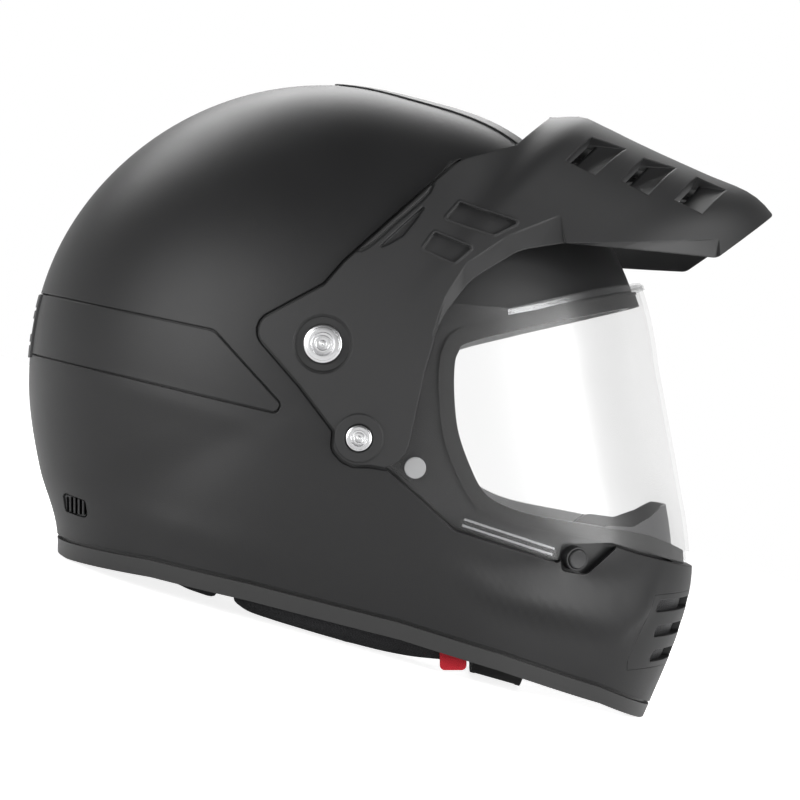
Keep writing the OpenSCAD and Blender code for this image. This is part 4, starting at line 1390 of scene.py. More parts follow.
@dataclass
class Shell:
    """Moulded outer shell with its rear panels, vents and crown fairing."""

    bench: Bench
    gap: float = 0.9
    insert_bore: float = 4.12
    insert_floor: float = 105.0
    hub_pocket: float = 14.0
    hub_floor: float = 115.5
    arm_groove: float = 1.6
    grille_width: float = 38.0
    grille_low: float = 14.0
    grille_top: float = 45.5
    slits: int = 5
    travel: Points = (
        (26, 76), (50, 84), (66, 97), (90, 104), (114, 124), (118, 170), (20, 170),
    )  # fmt: skip
    neck_side: Sketch = Sketch(((-139, -53, 2), (-125.5, -57, 2), (-124.5, -66, 2), (-138, -63, 2)))

    def build(self) -> None:
        """Makes every piece of the shell."""
        self.wall()
        self.panels()
        self.grille()
        self.fairing()
        self.neck_vents()

    def wall(self) -> None:
        """The shell with its openings and recesses."""
        t = FORMS.shell_t
        outer = FORMS.shell.lobe(0, *FINE).cut(FORMS.recess(FORMS.edge_gap))
        outer.join(FORMS.core.lobe(0, *FINE), self.slope())
        inner = FORMS.shell.lobe(-t, *COARSE).cut(FORMS.recess(FORMS.edge_gap + t, 7))
        inner.join(FORMS.core.lobe(-t, *COARSE))
        outer.cut(inner, prism(FORMS.port_side.smooth()), FORMS.below(0))
        outer.cut(FORMS.shell.layer(1, -FORMS.panel_t, prism(FORMS.panel_side.traced())))
        outer.cut(self.grille_box(0), ChinVents.box(3))
        outer.cut(self.neck_recess().both(), self.arm_line())
        for x, z in (FORMS.upper_screw, FORMS.lower_screw):
            outer.cut(disc(x, z, self.insert_bore, self.insert_floor).both())
        outer.cut(disc(0, 0, self.hub_pocket, self.hub_floor).both())
        self.bench.finish(outer, "shell_wall", LOOKS.shell, ("outer_shell",))

    def slope(self) -> Solid:
        """Floor of the shield's upper travel, just under the open shield."""
        bound = prism(Sketch(self.travel).traced())
        return bound.keep(FORMS.shell.lobe(0, *FINE), FORMS.shield.lobe(-FORMS.shield_t - 0.5, *FINE))

    def arm_line(self) -> Solid:
        """Shadow groove in the shell along the rear edge of the peak's arms.

        Returns:
            The cutter of the groove.
        """
        line = FORMS.arm_side.traced()
        ring = prism(grown(line, 1.5)).cut(prism(grown(line, -2)))
        ring.keep(block((-60, -ACROSS, -60), (58, ACROSS, 116)))
        return FORMS.shell.layer(2, -self.arm_groove, ring)

    def grille_box(self, grow: float) -> Solid:
        """Room of the rear vent grille."""
        return rear_block(self.grille_width + grow, self.grille_low - grow, self.grille_top + grow)

    def panels(self) -> None:
        """The two inset panels behind the temples."""
        line = grown(FORMS.panel_side.traced(), -self.gap)
        panel = FORMS.shell.layer(0, -FORMS.panel_t, prism(line), *FINE)
        panel.cut(rear_block(self.grille_width + self.gap, -ACROSS, ACROSS))
        self.bench.finish(panel, "rear_panels", LOOKS.shell, ("rear_panel",))

    def grille(self) -> None:
        """Rear vent: lips above and below, two round fins and a mesh."""
        lip, crack, fin = 6.0, 1.0, 5.7
        low, top, w = self.grille_low, self.grille_top, self.grille_width
        frame = FORMS.shell.layer(0.9, -FORMS.shell_t, self.grille_box(0), *FINE)
        first, second = low + lip, top - lip
        frame.cut(rear_block(w - 4, first, second))
        for z in (first + crack, second - crack - fin):
            bar = rear_block(w - 3, z, z + fin)
            frame.join(FORMS.shell.layer(-0.2, -FORMS.shell_t, bar, *FINE))
            core = rear_block(w - 5, z + 1, z + fin - 1)
            frame.join(FORMS.shell.layer(0.9, -1, core, *FINE))
        self.bench.finish(frame, "rear_vent_fins", LOOKS.vent, ("rear_vent_grille",))
        mesh = FORMS.shell.layer(-FORMS.shell_t - 0.1, -FORMS.shell_t - 0.9, self.grille_box(0), *COARSE)
        self.bench.finish(mesh, "rear_vent_screen", LOOKS.vent_mesh, ("rear_vent_mesh",))

    def fairing(self) -> None:
        """Raised strip along the crown."""
        left = [(-5, 12, 6), (-2, 27, 6), (30, 37, 20), (98, 47, 6), (112, 30, 6)]
        right = [(x, -y, r) for x, y, r in reversed(left)]
        strip = prism(Sketch(tuple(left + right)).traced(), 60, 200, Axis.UP)
        raised = FORMS.shell.layer(0.8, 0.05, strip)
        self.bench.finish(raised, "crown_strip", LOOKS.shell, ("crown_fairing",))

    def neck_recess(self) -> Solid:
        """Shallow recess of the neck vents, on the right."""
        return pocket(FORMS.shell, self.neck_side.traced(), 2.2, 0.4)

    def neck_vents(self) -> None:
        """Slits low at the back, one group on each side."""
        for side in Side:
            bound = prism(grown(self.neck_side.traced(), -0.5), 0, ACROSS)
            vent = FORMS.shell.layer(-0.7, -2.1, bound)
            for i in range(self.slits):
                x = -136.8 + i * 2.5
                slit = ((x, -64), (x + 1.3, -64), (x + 1.6, -55.6), (x + 0.3, -55.6))
                vent.cut(prism([Vector(corner) for corner in slit]))
            if side is Side.RIGHT:
                vent.mirrored()
            self.bench.finish(vent, f"neck_slits_{side.word}", LOOKS.vent, (f"neck_vent_{side.word}",))


@dataclass
class ChinVents:
    """Chin vent frame with three slots a side, and the mesh behind."""

    bench: Bench
    top: float = -106.6
    pitch: float = 12.6
    slot: float = 6.0

    @staticmethod
    def box(grow: float) -> Solid:
        """Room of the chin vent frame."""
        w = 68 + grow
        return block((140, -w, -137.8 - grow), (200, w, -106.6 + grow))

    def build(self) -> None:
        """Makes the frame and its mesh."""
        frame = FORMS.shell.layer(0.02, -FORMS.shell_t, self.box(2.95), *FINE)
        for i in range(3):
            reach = 66 - 5 * i
            z = self.top - i * self.pitch - self.slot
            top = z + self.slot
            line = Sketch(((12, z, 1.5), (reach, z, 2), (reach, top, 2), (12, top, 1.5)))
            frame.cut(prism(line.traced(), 140, 200, Axis.ALONG).both())
        self.bench.finish(frame, "chin_vent_bars", LOOKS.shell, ("chin_vent_frame",))
        mesh = FORMS.shell.layer(-FORMS.shell_t - 0.1, -FORMS.shell_t - 0.9, self.box(2.9), *COARSE)
        self.bench.finish(mesh, "chin_vent_screen", LOOKS.vent_mesh, ("chin_vent_mesh",))


@dataclass
class BaseTrim:
    """Rubber band round the lower edge."""

    bench: Bench
    height: float = 10.0
    thickness: float = 8.0
    groove: float = 1.8
    sunk: float = 3.0

    def build(self) -> None:
        """Makes the band with its groove."""
        band = FORMS.shell.lobe(0, *FINE).keep(FORMS.below(self.groove))
        inner = FORMS.shell.lobe(-self.thickness, *COARSE)
        band.cut(inner, FORMS.below(self.height))
        neck = FORMS.shell.lobe(-self.sunk, *MEDIUM).keep(FORMS.below(0.05))
        neck.cut(FORMS.shell.lobe(-self.thickness, *COARSE), FORMS.below(self.groove + 0.5))
        band.join(neck).cut(FORMS.under_floor())
        self.bench.finish(band, "base_band", LOOKS.trim, ("base_trim",))


@dataclass
class EyePort:
    """Rubber gasket, breath guard and what lines the opening."""

    bench: Bench
    lip: float = 5.0
    bead: float = 2.4
    rise: float = 1.2
    guard_side: Sketch = Sketch(
        (
            (118, -78, 3), (129, -69, 6), (143, -70.5, 6), (153, -66, 5), (160, -61, 2),
            (200, -61), (200, -93), (118, -87, 3),
        )
    )  # fmt: skip

    def build(self) -> None:
        """Makes the gasket, the guard and the pale band behind them."""
        line = FORMS.port_side.smooth()
        band = FORMS.core.layer(self.rise, -FORMS.shell_t - 0.1, prism(grown(line, self.lip)), *FINE)
        band.cut(prism(grown(line, -self.bead)))
        edge = prism(grown(line, self.lip)).cut(prism(grown(line, self.lip - 1.2)))
        band.join(FORMS.core.layer(self.rise + 0.7, 0.2, edge, *FINE))
        hidden = FORMS.core.layer(0, -FORMS.shell_t - 1, prism(grown(line, self.lip + 3)), *FINE)
        band.cut(hidden.cut(prism(line)))
        self.bench.finish(band, "port_seal", LOOKS.seal, ("eye_port_gasket",))
        outline = self.guard_side.traced()
        guard = FORMS.core.layer(-5.4, -7.4, prism(outline), *MEDIUM)
        self.bench.finish(guard, "nose_guard", LOOKS.guard, ("breath_guard",))
        ring = prism(grown(line, 6.5)).cut(prism(grown(line, -self.bead)), prism(grown(outline, 1)))
        self.bench.finish(FORMS.core.layer(-4.4, -7.2, ring, *MEDIUM), "port_lining", LOOKS.pale)


@dataclass
class Peak:
    """Peak with its side arms, scoops and screws."""

    bench: Bench
    boss_rise: float = 1.2
    boss_r: float = 11.5
    shaft_r: float = 2.7
    upper_seat: tuple[float, float] = (14.0, 1.2)
    lower_seat: tuple[float, float] = (6.8, 0.8)
    ring: tuple[float, float, float] = (9.4, 13.2, 1.2)
    head: Points = (
        (1, 0.55), (0.96, 0.62), (0.88, 0.66), (0.87, 0.96), (0.84, 1), (0.64, 1), (0.6, 0.86),
        (0.58, 0.7), (0.46, 0.66), (0.44, 0.82), (0.36, 0.84), (0.33, 0.6), (0.2, 0.56),
        (0.17, 0.72), (0.07, 0.76), (0, 0.6),
    )  # fmt: skip
    shank: Points = ((0, -9), (2.4, -9), (2.4, 0.02))
    ramp: tuple[float, float] = (5.5, 0.4)
    panels: tuple[Sketch, ...] = (
        Sketch(((57.1, 87.3, 0.8), (85.4, 77.7, 0.8), (73.3, 71.7, 0.8), (50.3, 79.4, 0.8))),
        Sketch(((45, 72.5, 0.8), (62.7, 65.3, 0.8), (54.1, 58, 0.8), (39.3, 64.7, 0.8))),
    )
    wedge: Sketch = Sketch(((15.5, 62.8, 0.6), (44.2, 89.5, 0.6), (30, 70.2, 2)))
    groove: Points = (
        (6, 63.4), (13.1, 65.1), (28, 78.4), (42.6, 92.2), (45.2, 103),
    )  # fmt: skip
    crease: Points = (
        (109, 67.75), (126.3, 67.9), (144.1, 68.5), (164.1, 69.6), (183.8, 70.9),
    )  # fmt: skip
    foot: Points = (
        (109.5, 67.5), (126.3, 65.9), (144.1, 64.1), (164.1, 62.4), (184.5, 61.6),
    )  # fmt: skip
    arm_crease: Points = (
        (44, 24), (50, 42), (60, 57.5), (80, 71), (105.4, 81.4),
    )  # fmt: skip
    arm_foot: Points = (
        (44.5, 22.5), (53, 39.5), (66, 53), (86, 64.3), (107.5, 67.9),
    )  # fmt: skip
    scoops: tuple[tuple[tuple[float, float, float], ...], ...] = (
        ((109.3, -84, 108.9), (123.5, -59.2, 122.7), (140.8, -53.7, 117.2), (123.5, -83.9, 102.1)),
        ((136.4, -80.8, 99.4), (149.7, -54.4, 112.7), (166.2, -47.7, 108.2), (149.5, -81.7, 92.5)),
        ((162.5, -78.2, 90.2), (176.8, -47, 103.7), (191, -49.4, 97.1), (176.1, -79.3, 83.3)),
    )

    def build(self) -> None:
        """Makes the moulding and its screws."""
        t = FORMS.peak_t
        peak = FORMS.peak.layer(0, -t, prism(FORMS.arm_side.traced()), *FINEST)
        boss = disc(*FORMS.lower_screw, self.boss_r, 100).both()
        peak.join(FORMS.peak.layer(self.boss_rise, -t, boss))
        for corners in self.scoops:
            self.scoop(peak, [Vector(c) for c in corners])
        for sketch in self.panels:
            line = sketch.traced()
            peak.join(FORMS.peak.layer(0.45, -1, prism(grown(line, 1.1), -ACROSS, 0)).both())
            peak.cut(FORMS.peak.layer(1, -2.2, prism(line, -ACROSS, 0)).both())
        peak.cut(pocket(FORMS.peak, self.wedge.traced(), 2.1, 1.2).both())
        groove = [Vector(p) for p in self.groove]
        peak.cut(FORMS.peak.layer(1, -1.1, prism(band(trace(groove, 3), 1.5), -ACROSS, 0)).both())
        self.chamfer(peak, self.crease, self.foot, 2.3)
        self.chamfer(peak, self.arm_crease, self.arm_foot, 1.3)
        self.seats(peak)
        self.bench.finish(peak, "peak_moulding", LOOKS.peak, ("peak",))
        self.screws()
        self.bench.dress(("peak_inserts",), LOOKS.brass)

    def scoop(self, peak: Solid, corners: list[Vector]) -> None:
        """One ramp sunk into the peak, with a slot at its rear end, on both sides.

        Args:
            peak: Moulding that it is cut into.
            corners: Its four corners, on the wearer's right.
        """
        low, high, far, near = corners
        out = (high - low).cross(near - low).normalized()
        if out.z < 0:
            out = -out
        ahead = ((near - low) + (far - high)).normalized()
        deep, shallow = self.ramp
        sunk = [low - out * deep, high - out * deep, far - out * shallow, near - out * shallow]
        lid = [c + out * 8 for c in corners]
        middle = sum(corners, Vector()) / 4
        wide = [middle + (p - middle) * 1.14 for p in (low, high, far, near)]
        tub = hull([p - out * 0.8 for p in wide] + [p - out * 1.8 + (p - middle) * 0.14 for p in sunk])
        peak.join(tub.both())
        peak.cut(hull(lid + sunk).both())
        slot = [p + out + ahead * shift for shift in (0, 5) for p in sunk[:2]]
        peak.cut(hull(slot + [p - out * 14 for p in slot]).both())

    def chamfer(self, peak: Solid, crease: Points, foot: Points, depth: float) -> None:
        """Facet between a crease and an edge.

        Args:
            peak: Moulding that is cut.
            crease: Line in the side view where the facet starts.
            foot: Line in the side view where it reaches its depth.
            depth: How far the facet lies below the surface there.
        """
        away = Vector((6, -20, -14))
        upper = [Vector((x, -FORMS.peak.side_y(x, z), z)) for x, z in crease]
        lower = []
        for (x, z), top in zip(foot, upper):
            out = FORMS.peak.normal(x, z, Side.RIGHT)
            base = Vector((x, -FORMS.peak.side_y(x, z), z)) - out * depth
            lower.append(top + (base - top) * 1.7)
        for i in range(len(upper) - 1):
            lap = (upper[i + 1] - upper[i]).normalized() * 0.3
            quad = [upper[i] - lap, upper[i + 1] + lap, lower[i] - lap, lower[i + 1] + lap]
            peak.cut(hull(quad + [p + away for p in quad]).both())

    def seats(self, peak: Solid) -> None:
        """Recesses of the four screws, with a deeper ring round the upper ones.

        Args:
            peak: Moulding that they are cut into.
        """
        seats = ((FORMS.upper_screw, self.upper_seat), (FORMS.lower_screw, self.lower_seat))
        for at, (radius, depth) in seats:
            level = FORMS.peak.side_y(*at) - depth
            peak.cut(disc(*at, radius, level, steps=96).both(), disc(*at, self.shaft_r, 110).both())
        inside, outside, depth = self.ring
        at = FORMS.upper_screw
        level = FORMS.peak.side_y(*at) - self.upper_seat[1] - depth
        ring = disc(*at, outside, level, steps=96).cut(disc(*at, inside, 90, PAST + 10, 96))
        peak.cut(ring.both())

    def screws(self) -> None:
        """Machined screws with stepped, dished heads."""
        for name, at, drop, r, h in (
            ("upper", FORMS.upper_screw, self.upper_seat[1], 9.0, 2.6),
            ("lower", FORMS.lower_screw, self.lower_seat[1], 6.2, 2.4),
        ):
            y = FORMS.peak.side_y(*at) - drop
            profile = [*self.shank, (r, 0.02), *((r * a, h * b) for a, b in self.head)]
            right, left = (turned(profile, along_y(*at, y, side)) for side in Side)
            nodes = (f"peak_screws_{name}",)
            self.bench.finish(right.join(left), f"{name}_screw_heads", LOOKS.alloy, nodes, sharp=24)


@dataclass
class Shield:
    """Clear shield with its hubs, latches and locks."""

    bench: Bench
    hub_bore: float = 10.0
    latch_bore: float = 2.6
    inside: float = 60.0
    brow: Points = ((80, 34.4), (96, 37.6), (126, 44.9), (150, 49.2), (158, 51))

    def build(self) -> None:
        """Makes the sheet, its grip and the hardware."""
        t = FORMS.shield_t
        line = FORMS.shield_side.traced()
        bound = prism(line).join(disc(0, 0, FORMS.ear_r, self.inside, steps=96).both())
        sheet = FORMS.shield.layer(0, -t, bound, *FINE)
        sheet.cut(disc(0, 0, self.hub_bore, self.inside, steps=96).both())
        sheet.cut(disc(*FORMS.latch_at, self.latch_bore, self.inside).both())
        piece = self.bench.finish(sheet, "shield_sheet", LOOKS.clear, ("shield",), "shield", sharp=30)
        self.edges(piece)
        self.grip()
        self.hardware()

    def edges(self, piece: bpy.types.Object) -> None:
        """Gives the cut edges of the sheet a paler look than its faces.

        Args:
            piece: The finished sheet.
        """
        mesh = piece.data
        mesh.materials.append(LOOKS.rim.material())
        back = WORN.inverted()
        for face in mesh.polygons:
            centre = back @ face.center
            side = Side.LEFT if centre.y > 0 else Side.RIGHT
            reach = math.hypot(centre.x, centre.z)
            if reach > 0.985 * FORMS.shield.curve(math.degrees(math.atan2(centre.z, centre.x))):
                continue
            square = back.to_3x3() @ face.normal
            if abs(square.normalized().dot(FORMS.shield.normal(centre.x, centre.z, side))) < 0.5:
                face.material_index = 1

    def grip(self) -> None:
        """Clear lift along the lower edge, with two long ridges."""
        sketch = Sketch(((56, -68.5, 1), (58, -63.5, 2), (103, -78, 2), (103.5, -84.2, 1)))
        grip = FORMS.shield.layer(0.7, 0.05, prism(sketch.traced()), *FINE)
        self.bench.finish(grip, "shield_grip", LOOKS.clear, (), "shield")
        start, end = Vector((58.5, -66)), Vector((102, -80.6))
        along = (end - start).normalized()
        up = Vector((-along.y, along.x))
        for shift, name in ((-1.5, "lower"), (1.5, "upper")):
            line = band([start + up * shift, end + up * shift], 1.1)
            ridge = FORMS.shield.layer(1.9, 0.75, prism(line), *FINE)
            self.bench.finish(ridge, f"grip_ridge_{name}", LOOKS.rim, (), "shield")
        top = [Vector(p) for p in self.brow]
        ridge = FORMS.shield.layer(0.8, 0.05, prism(band(trace(top, 4), 2.6)), *FINE)
        self.bench.finish(ridge, "shield_brow", LOOKS.brow, (), "shield")

    def hardware(self) -> None:
        """Latches, and the construction nodes that stay in view."""
        for side in Side:
            x, z = FORMS.latch_at
            y = FORMS.shield.side_y(x, z) + 0.5
            profile = [(0, -2.9), (2.6, -2.9), (2.6, 0), (5.2, 0), (5.2, 1.0), (4.9, 1.4), (0, 1.45)]
            pin = turned(profile, along_y(x, z, y, side))
            nodes = (f"shield_latch_{side.word}",)
            self.bench.finish(pin, f"latch_disc_{side.word}", LOOKS.latch, nodes, "shield")
            self.lock(side)
        self.bench.dress(
            ("shield_hub_left", "shield_hub_right", "shield_base_left", "shield_base_right"), LOOKS.hub
        )
        self.bench.dress(("shield_pivot_screws",), LOOKS.steel)

    def lock(self, side: Side) -> None:
        """Lock button in its housing, square to the shell.

        Args:
            side: Side of the helmet.
        """
        cup = [
            (0, 0), (5.85, 0), (5.85, 6.9), (5.6, 7.2), (5.0, 7.2), (4.87, 7.0), (4.87, 1.0), (0, 1.0),
        ]  # fmt: skip
        housing = turned(cup, FORMS.lock_place(side, 7.8))
        self.bench.finish(housing, f"lock_cup_{side.word}", LOOKS.hub, (f"lock_housing_{side.word}",))
        cap = [(0, 0), (4.8, 0), (4.8, 3.9), (4.6, 4.3), (4.1, 4.6), (1.6, 4.35), (0, 4.3)]
        button = turned(cap, FORMS.lock_place(side, 4.0))
        node = f"lock_button_{side.word}"
        self.bench.finish(button, f"lock_cap_{side.word}", LOOKS.hub, (node,), node)


@dataclass
class Cushion:
    """Swells a closed pad with a short cloth simulation.

    Attributes:
        shrink: How far the start lies inside the pad's own surface, in metres.
        voxel: Size of the mesh that is swelled.
        pressure: Pressure of the filling.
        frames: Length of the simulation.
        cap: Greatest way that a point may move.
    """

    shrink: float = 0.0022
    voxel: float = 0.005
    pressure: float = 4.0
    frames: int = 14
    cap: float = 0.0024

    def swell(self, bm: bmesh.types.BMesh) -> bpy.types.Mesh:
        """Padded mesh made from a closed one, which is freed.

        Args:
            bm: Closed pad in the row frame, in metres.

        Returns:
            The swelled mesh.
        """
        bm.normal_update()
        for vert in bm.verts:
            vert.co -= vert.normal * self.shrink
        mesh = bpy.data.meshes.new("pad")
        bm.to_mesh(mesh)
        bm.free()
        obj = bpy.data.objects.new("pad", mesh)
        bpy.context.scene.collection.objects.link(obj)
        grid = obj.modifiers.new("grid", "REMESH")
        grid.mode, grid.voxel_size = "VOXEL", self.voxel
        bake(obj)
        self.press(obj)
        smooth = obj.modifiers.new("smooth", "SUBSURF")
        smooth.levels = smooth.render_levels = 1
        bake(obj)
        made = obj.data
        bpy.data.objects.remove(obj)
        return made

    def press(self, obj: bpy.types.Object) -> None:
        """Runs the simulation and keeps each point near its start.

        Args:
            obj: Pad whose mesh is swelled.
        """
        start = [vert.co.copy() for vert in obj.data.vertices]
        cloth = obj.modifiers.new("cloth", "CLOTH")
        cloth.settings.use_pressure = True
        cloth.settings.uniform_pressure_force = self.pressure
        cloth.settings.effector_weights.gravity = 0
        cloth.point_cache.frame_start, cloth.point_cache.frame_end = 1, self.frames
        for frame in range(1, self.frames + 1):
            bpy.context.scene.frame_set(frame)
        bake(obj)
        for vert, home in zip(obj.data.vertices, start):
            move = vert.co - home
            vert.co = home + move * min(1.0, self.cap / max(move.length, 1e-9))
        bpy.context.scene.frame_set(1)


@dataclass
class Lining:
    """Foam liners, padded cheek pads, neck roll and crown pad."""

    bench: Bench
    gap: float = 0.3
    lock_bore: tuple[float, float, float] = (8.0, 30.0, 38.0)
    cheek_fill: float = 0.6
    roll_fill: float = 0.7
    crown_fill: float = 0.4
    liner_cut: Points = (
        (-200, -60), (-130, -64), (-114, -65.2), (-100, -67.2), (-90, -70), (-80, -58), (-62, -10),
        (-50, -7), (270, -7), (270, -290), (-200, -290),
    )  # fmt: skip
    chin_side: Points = (
        (108, -87), (118, -87.5), (200, -93.5), (200, -160), (148, -146), (108, -131),
    )  # fmt: skip
    crown_side: Points = (
        (-118, 20), (-118, -2), (-80, -2), (-50, 14), (60, 30), (84, 40), (130, 44), (130, 140),
        (-140, 140),
    )  # fmt: skip

    def build(self) -> None:
        """Makes every piece of the lining."""
        self.liner()
        self.chin()
        self.crown()
        self.cheeks()
        self.roll()
        self.tabs()

    def body(self, inset: float) -> Solid:
        """The shell's form with its recess, moved in by a distance."""
        solid = FORMS.shell.lobe(-inset, *COARSE).cut(FORMS.recess(FORMS.edge_gap + inset, 7))
        return solid.join(FORMS.core.lobe(-inset, *COARSE))

    def lock_bores(self) -> Solid:
        """Room round the two lock housings.

        Returns:
            The cutter on both sides.
        """
        radius, depth, height = self.lock_bore
        line = [(0, 0), (radius, 0), (radius, height), (0, height)]
        right, left = (turned(line, FORMS.lock_place(side, depth), 48) for side in Side)
        return right.join(left)

    def liner(self) -> None:
        """Smooth moulded foam inside the shell."""
        foam = self.body(FORMS.shell_t + self.gap)
        foam.cut(FORMS.room.lobe(0, *COARSE), prism([Vector(p) for p in self.liner_cut]))
        port = prism(grown(FORMS.port_side.smooth(), 7))
        foam.cut(port, rear_block(40, 12, 47.5), self.lock_bores())
        self.bench.finish(foam, "foam_liner", LOOKS.foam, ("eps_liner",))

    def chin(self) -> None:
        """Moulded foam block behind the chin vents."""
        inset = FORMS.shell_t + self.gap + 1.2
        foam = self.body(inset).keep(prism([Vector(p) for p in self.chin_side]))
        foam.cut(FORMS.core.lobe(-inset - 15, *COARSE), self.lock_bores())
        self.bench.finish(foam, "chin_padding", LOOKS.foam, ("chin_foam",))

    def crown(self) -> None:
        """Thin quilted pad under the crown, with two sewn channels."""
        pad = prism([Vector(p) for p in self.crown_side]).keep(FORMS.room.lobe(-0.4, *COARSE))
        pad.cut(FORMS.room.lobe(-8.4, *COARSE))
        for y in (-22, 22):
            channel = block((-60, y - 1.5, 0), (70, y + 1.5, 150))
            pad.cut(channel.keep(FORMS.room.lobe(-5.4, *COARSE)))
        piece = self.bench.finish(pad, "crown_pad", LOOKS.lining, ("crown_liner",))

    def pad(self, solid: Solid, name: str, node: str, fill: float) -> None:
        """Makes a swelled mesh a padded piece."""
        piece = self.bench.finish(solid, name, LOOKS.lining, (node,), sharp=70, place=Matrix())

    def cheeks(self) -> None:
        """Two cheek pads, swelled once and mirrored, with a sewn channel down the middle."""
        mesh = Cushion().swell(self.bench.copy("cheek_pad_right"))
        back = WORN.inverted()
        turn = WORN.to_3x3().normalized()
        for vert in mesh.vertices:
            place = back @ vert.co
            sewn = math.exp(-(((place.x - 6 - 0.12 * (place.z + 88)) / 2.2) ** 2))
            if place.y > -96:
                vert.co += turn @ Vector((0, -0.0022 * sewn, 0))
        right, left = Solid(mesh), Solid(mesh.copy()).mirrored()
        self.pad(right, "cheek_cushion_right", "cheek_pad_right", self.cheek_fill)
        self.pad(left, "cheek_cushion_left", "cheek_pad_left", self.cheek_fill)

    def roll(self) -> None:
        """Padded rope round the back of the neck, drawn in by its seams."""
        mesh = Cushion(shrink=0.0026, cap=0.0018).swell(self.bench.copy("neck_roll"))
        self.pad(Solid(mesh), "neck_cushion", "neck_roll", self.roll_fill)

    def tabs(self) -> None:
        """Red pull tabs folded over the lower edge of the cheek pads."""
        sketch = Sketch(((47.5, -138.4, 2.5), (60.5, -138.4, 2.5), (60.5, -121.5, 1), (47.5, -121.5, 1)))
        for side in Side:
            tab = prism(sketch.traced(), 95.95, 97.05)
            if side is Side.RIGHT:
                tab.mirrored()
            self.bench.finish(tab, f"red_tab_{side.word}", LOOKS.red, (f"pad_pull_tab_{side.word}",))


@dataclass
class Straps:
    """Chin strap, its rings, rivets and snap, in the level frame of the floor."""

    bench: Bench
    x: float = 93.3
    z: float = 6.2
    width: float = 25.0
    thickness: float = 2.0
    loop_y: float = 19.0
    loop_r: tuple[float, float] = (3.55, 4.95)
    selvedge: float = 2.2
    raised: float = 0.5
    rivet: tuple[float, float, float] = (0.0, 45.0, 2.2)
    left: Points = (
        (96.4, 52), (96.4, 39), (92.5, 24), (82, 12), (58, 3.5), (38, 0), (20, 0),
    )  # fmt: skip
    right: Points = (
        (-96.4, 52), (-96.4, 39), (-93, 23), (-88.5, 12), (-83, 1), (-72, -3.6), (-50, -3.4), (-32, -2.2),
        (-12, -2.2),
    )  # fmt: skip

    def build(self) -> None:
        """Makes the webbing and finishes the metal."""
        half = self.width / 2
        inside, outside = (ring_line(self.loop_y, 0, radius) for radius in self.loop_r)
        bore = prism(inside, -40, 40, Axis.ALONG)
        loop = prism(outside, -half, half, Axis.ALONG)
        left = self.webbing(self.left).join(loop).cut(bore)
        self.strap(left, "strap_left", "chin_strap_left")
        self.strap(self.webbing(self.right), "strap_right", "chin_strap_right")
        self.bench.dress(("strap_anchors", "strap_snap", "d_ring_upper", "d_ring_lower"), LOOKS.steel)

    def webbing(self, points: Points) -> Solid:
        """Flat ribbon with raised woven edges.

        Args:
            points: Path of the strap's middle, as (y, z).

        Returns:
            The ribbon.
        """
        line = trace([Vector(p) for p in points])
        half = self.width / 2
        ribbon = prism(band(line, self.thickness - self.raised), -half, half, Axis.ALONG)
        for low in (-half, half - self.selvedge):
            ribbon.join(prism(band(line, self.thickness), low, low + self.selvedge, Axis.ALONG))
        return ribbon

    def strap(self, solid: Solid, name: str, node: str) -> None:
        """Puts a strap in its place, with room for its rivet.

        Args:
            solid: The webbing.
            name: Name of the piece.
            node: Construction node that it replaces.
        """
        solid.cut(prism(ring_line(*self.rivet)))
        place = METRES @ Matrix.Translation((self.x, 0, self.z))
        self.bench.finish(solid, name, LOOKS.web, (node,), place=place, sharp=40)


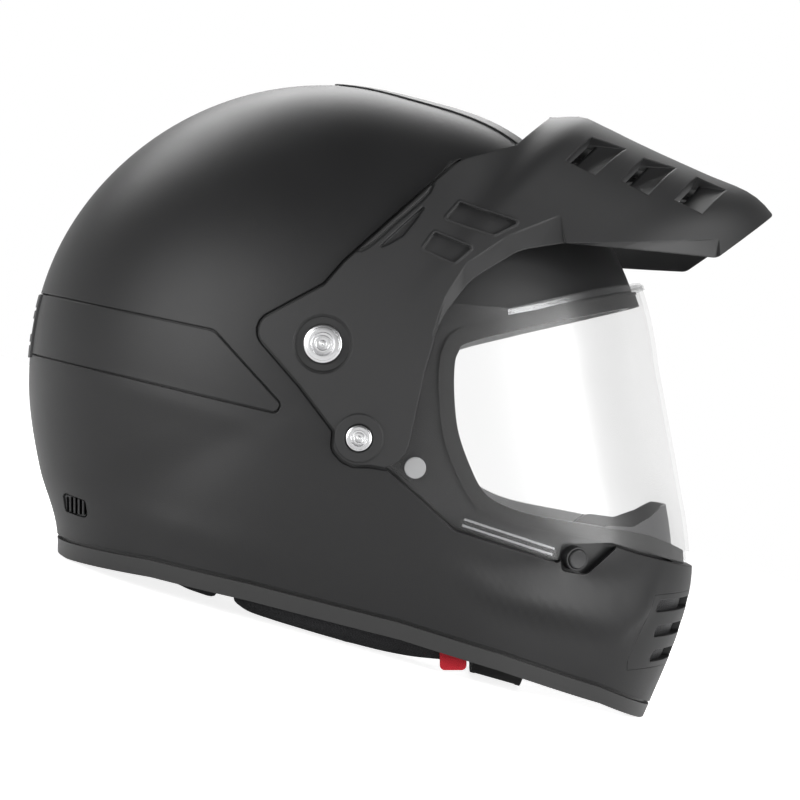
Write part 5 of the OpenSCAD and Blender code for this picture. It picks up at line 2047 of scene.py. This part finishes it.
@dataclass
class Studio:
    """Camera, lamps, floor and background."""

    place: tuple[float, float, float] = (0.01123, -1.6, 0.12092)
    aim: tuple[float, float, float] = (0.0, 0.0, 0.14)
    lens: float = 139.85
    horizon: float = 0.9
    zenith: float = 0.04
    fall: float = 2.6
    lamps: tuple[tuple[str, tuple[float, float, float], tuple[float, float], float], ...] = (
        ("front", (1.15, -0.95, 0.55), (0.8, 0.9), 14.0),
        ("rear", (-0.95, -1.17, 0.12), (1.0, 1.0), 14.5),
        ("crown", (-0.6, 0.9, 1.1), (2.0, 0.7), 20.0),
        ("brim", (0.75, -0.35, 1.35), (0.7, 0.5), 5.0),
    )

    def build(self) -> None:
        """Sets the stage."""
        self.camera()
        for name, place, size, power in self.lamps:
            self.lamp(name, Vector(place), size, power)
        self.world()
        self.floor()
        bpy.context.scene.view_settings.view_transform = "Standard"

    def camera(self) -> None:
        """Camera at the photograph's viewing angle."""
        data = bpy.data.cameras.new("camera")
        data.lens, data.sensor_width = self.lens, 36.0
        obj = bpy.data.objects.new("camera", data)
        bpy.context.scene.collection.objects.link(obj)
        right = Vector((math.cos(TILT), 0, math.sin(TILT)))
        up = Vector((-math.sin(TILT), 0, math.cos(TILT)))
        matrix = Matrix((right, up, right.cross(up))).transposed().to_4x4()
        matrix.translation = self.place
        obj.matrix_world = matrix
        bpy.context.scene.camera = obj

    def lamp(self, name: str, place: Vector, size: tuple[float, float], power: float) -> None:
        """Soft box aimed at the helmet.

        Args:
            name: Name of the lamp.
            place: Where it stands.
            size: Its width and height.
            power: Its power in watts.
        """
        data = bpy.data.lights.new(name, "AREA")
        data.shape, data.size, data.size_y, data.energy = "RECTANGLE", *size, power
        obj = bpy.data.objects.new(name, data)
        bpy.context.scene.collection.objects.link(obj)
        obj.location = place
        obj.rotation_mode = "QUATERNION"
        obj.rotation_quaternion = (place - Vector(self.aim)).to_track_quat("Z", "Y")

    def world(self) -> None:
        """White where the camera sees it, and light that fades towards the zenith elsewhere."""
        world = bpy.data.worlds.new("studio")
        bpy.context.scene.world = world
        world.use_nodes = True
        recipe = Recipe("", world.node_tree, "ShaderNodeOutputWorld")
        path = recipe.node("ShaderNodeLightPath").outputs
        seen = Wire(recipe, path["Is Camera Ray"]).most(Wire(recipe, path["Is Transmission Ray"]))
        sky = recipe.node("ShaderNodeTexCoord").outputs["Generated"]
        height = recipe.axes(sky)[2].most(0.0)
        glow = (1 - height).power(self.fall) * (self.horizon - self.zenith) + self.zenith
        back = recipe.node("ShaderNodeBackground", {"Strength": seen + (1 - seen) * glow})
        back.inputs["Color"].default_value = (1, 1, 1, 1)
        recipe.feed(recipe.out.inputs["Surface"], back.outputs[0])

    def floor(self) -> None:
        """Plain pale floor that keeps the object's shadow."""
        bm = bmesh.new()
        bmesh.ops.create_grid(bm, x_segments=1, y_segments=1, size=4)
        mesh = bpy.data.meshes.new("floor")
        bm.to_mesh(mesh)
        bm.free()
        obj = bpy.data.objects.new("floor", mesh)
        bpy.context.scene.collection.objects.link(obj)
        obj.location = (0, 0, -0.0005)
        recipe = Recipe("floor_white")
        place = recipe.place()
        cloud = recipe.noise(place, 3, 2)
        path = recipe.node("ShaderNodeLightPath").outputs
        seen = Wire(recipe, path["Is Camera Ray"]) + Wire(recipe, path["Is Glossy Ray"]) * 0.25
        shader = recipe.node("ShaderNodeBsdfPrincipled")
        pale = recipe.tinted((0.82, 0.82, 0.82), (cloud - 0.5) * 0.01 + 1)
        recipe.feed(shader.inputs["Base Color"], pale)
        recipe.feed(shader.inputs["Roughness"], 0.9)
        shader.inputs["Emission Color"].default_value = (1, 1, 1, 1)
        x, y, _ = recipe.axes(place)
        far = ((x * x + y * y).power(0.5) * 1.2).least(1.0)
        recipe.feed(shader.inputs["Emission Strength"], seen * (far * 0.2 + 0.82))
        recipe.feed(recipe.out.inputs["Surface"], shader.outputs[0])
        mesh.materials.append(recipe.made)


def main() -> None:
    """Builds the helmet, sub-assembly by sub-assembly."""
    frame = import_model()
    Studio().build()
    bench = Bench(frame)
    for part in (Shell, ChinVents, BaseTrim, EyePort, Peak, Shield, Lining, Straps):
        part(bench).build()
    Lobes.clear()
    log.info("pieces made: %d", bench.count)


if __name__ == "__main__":
    main()
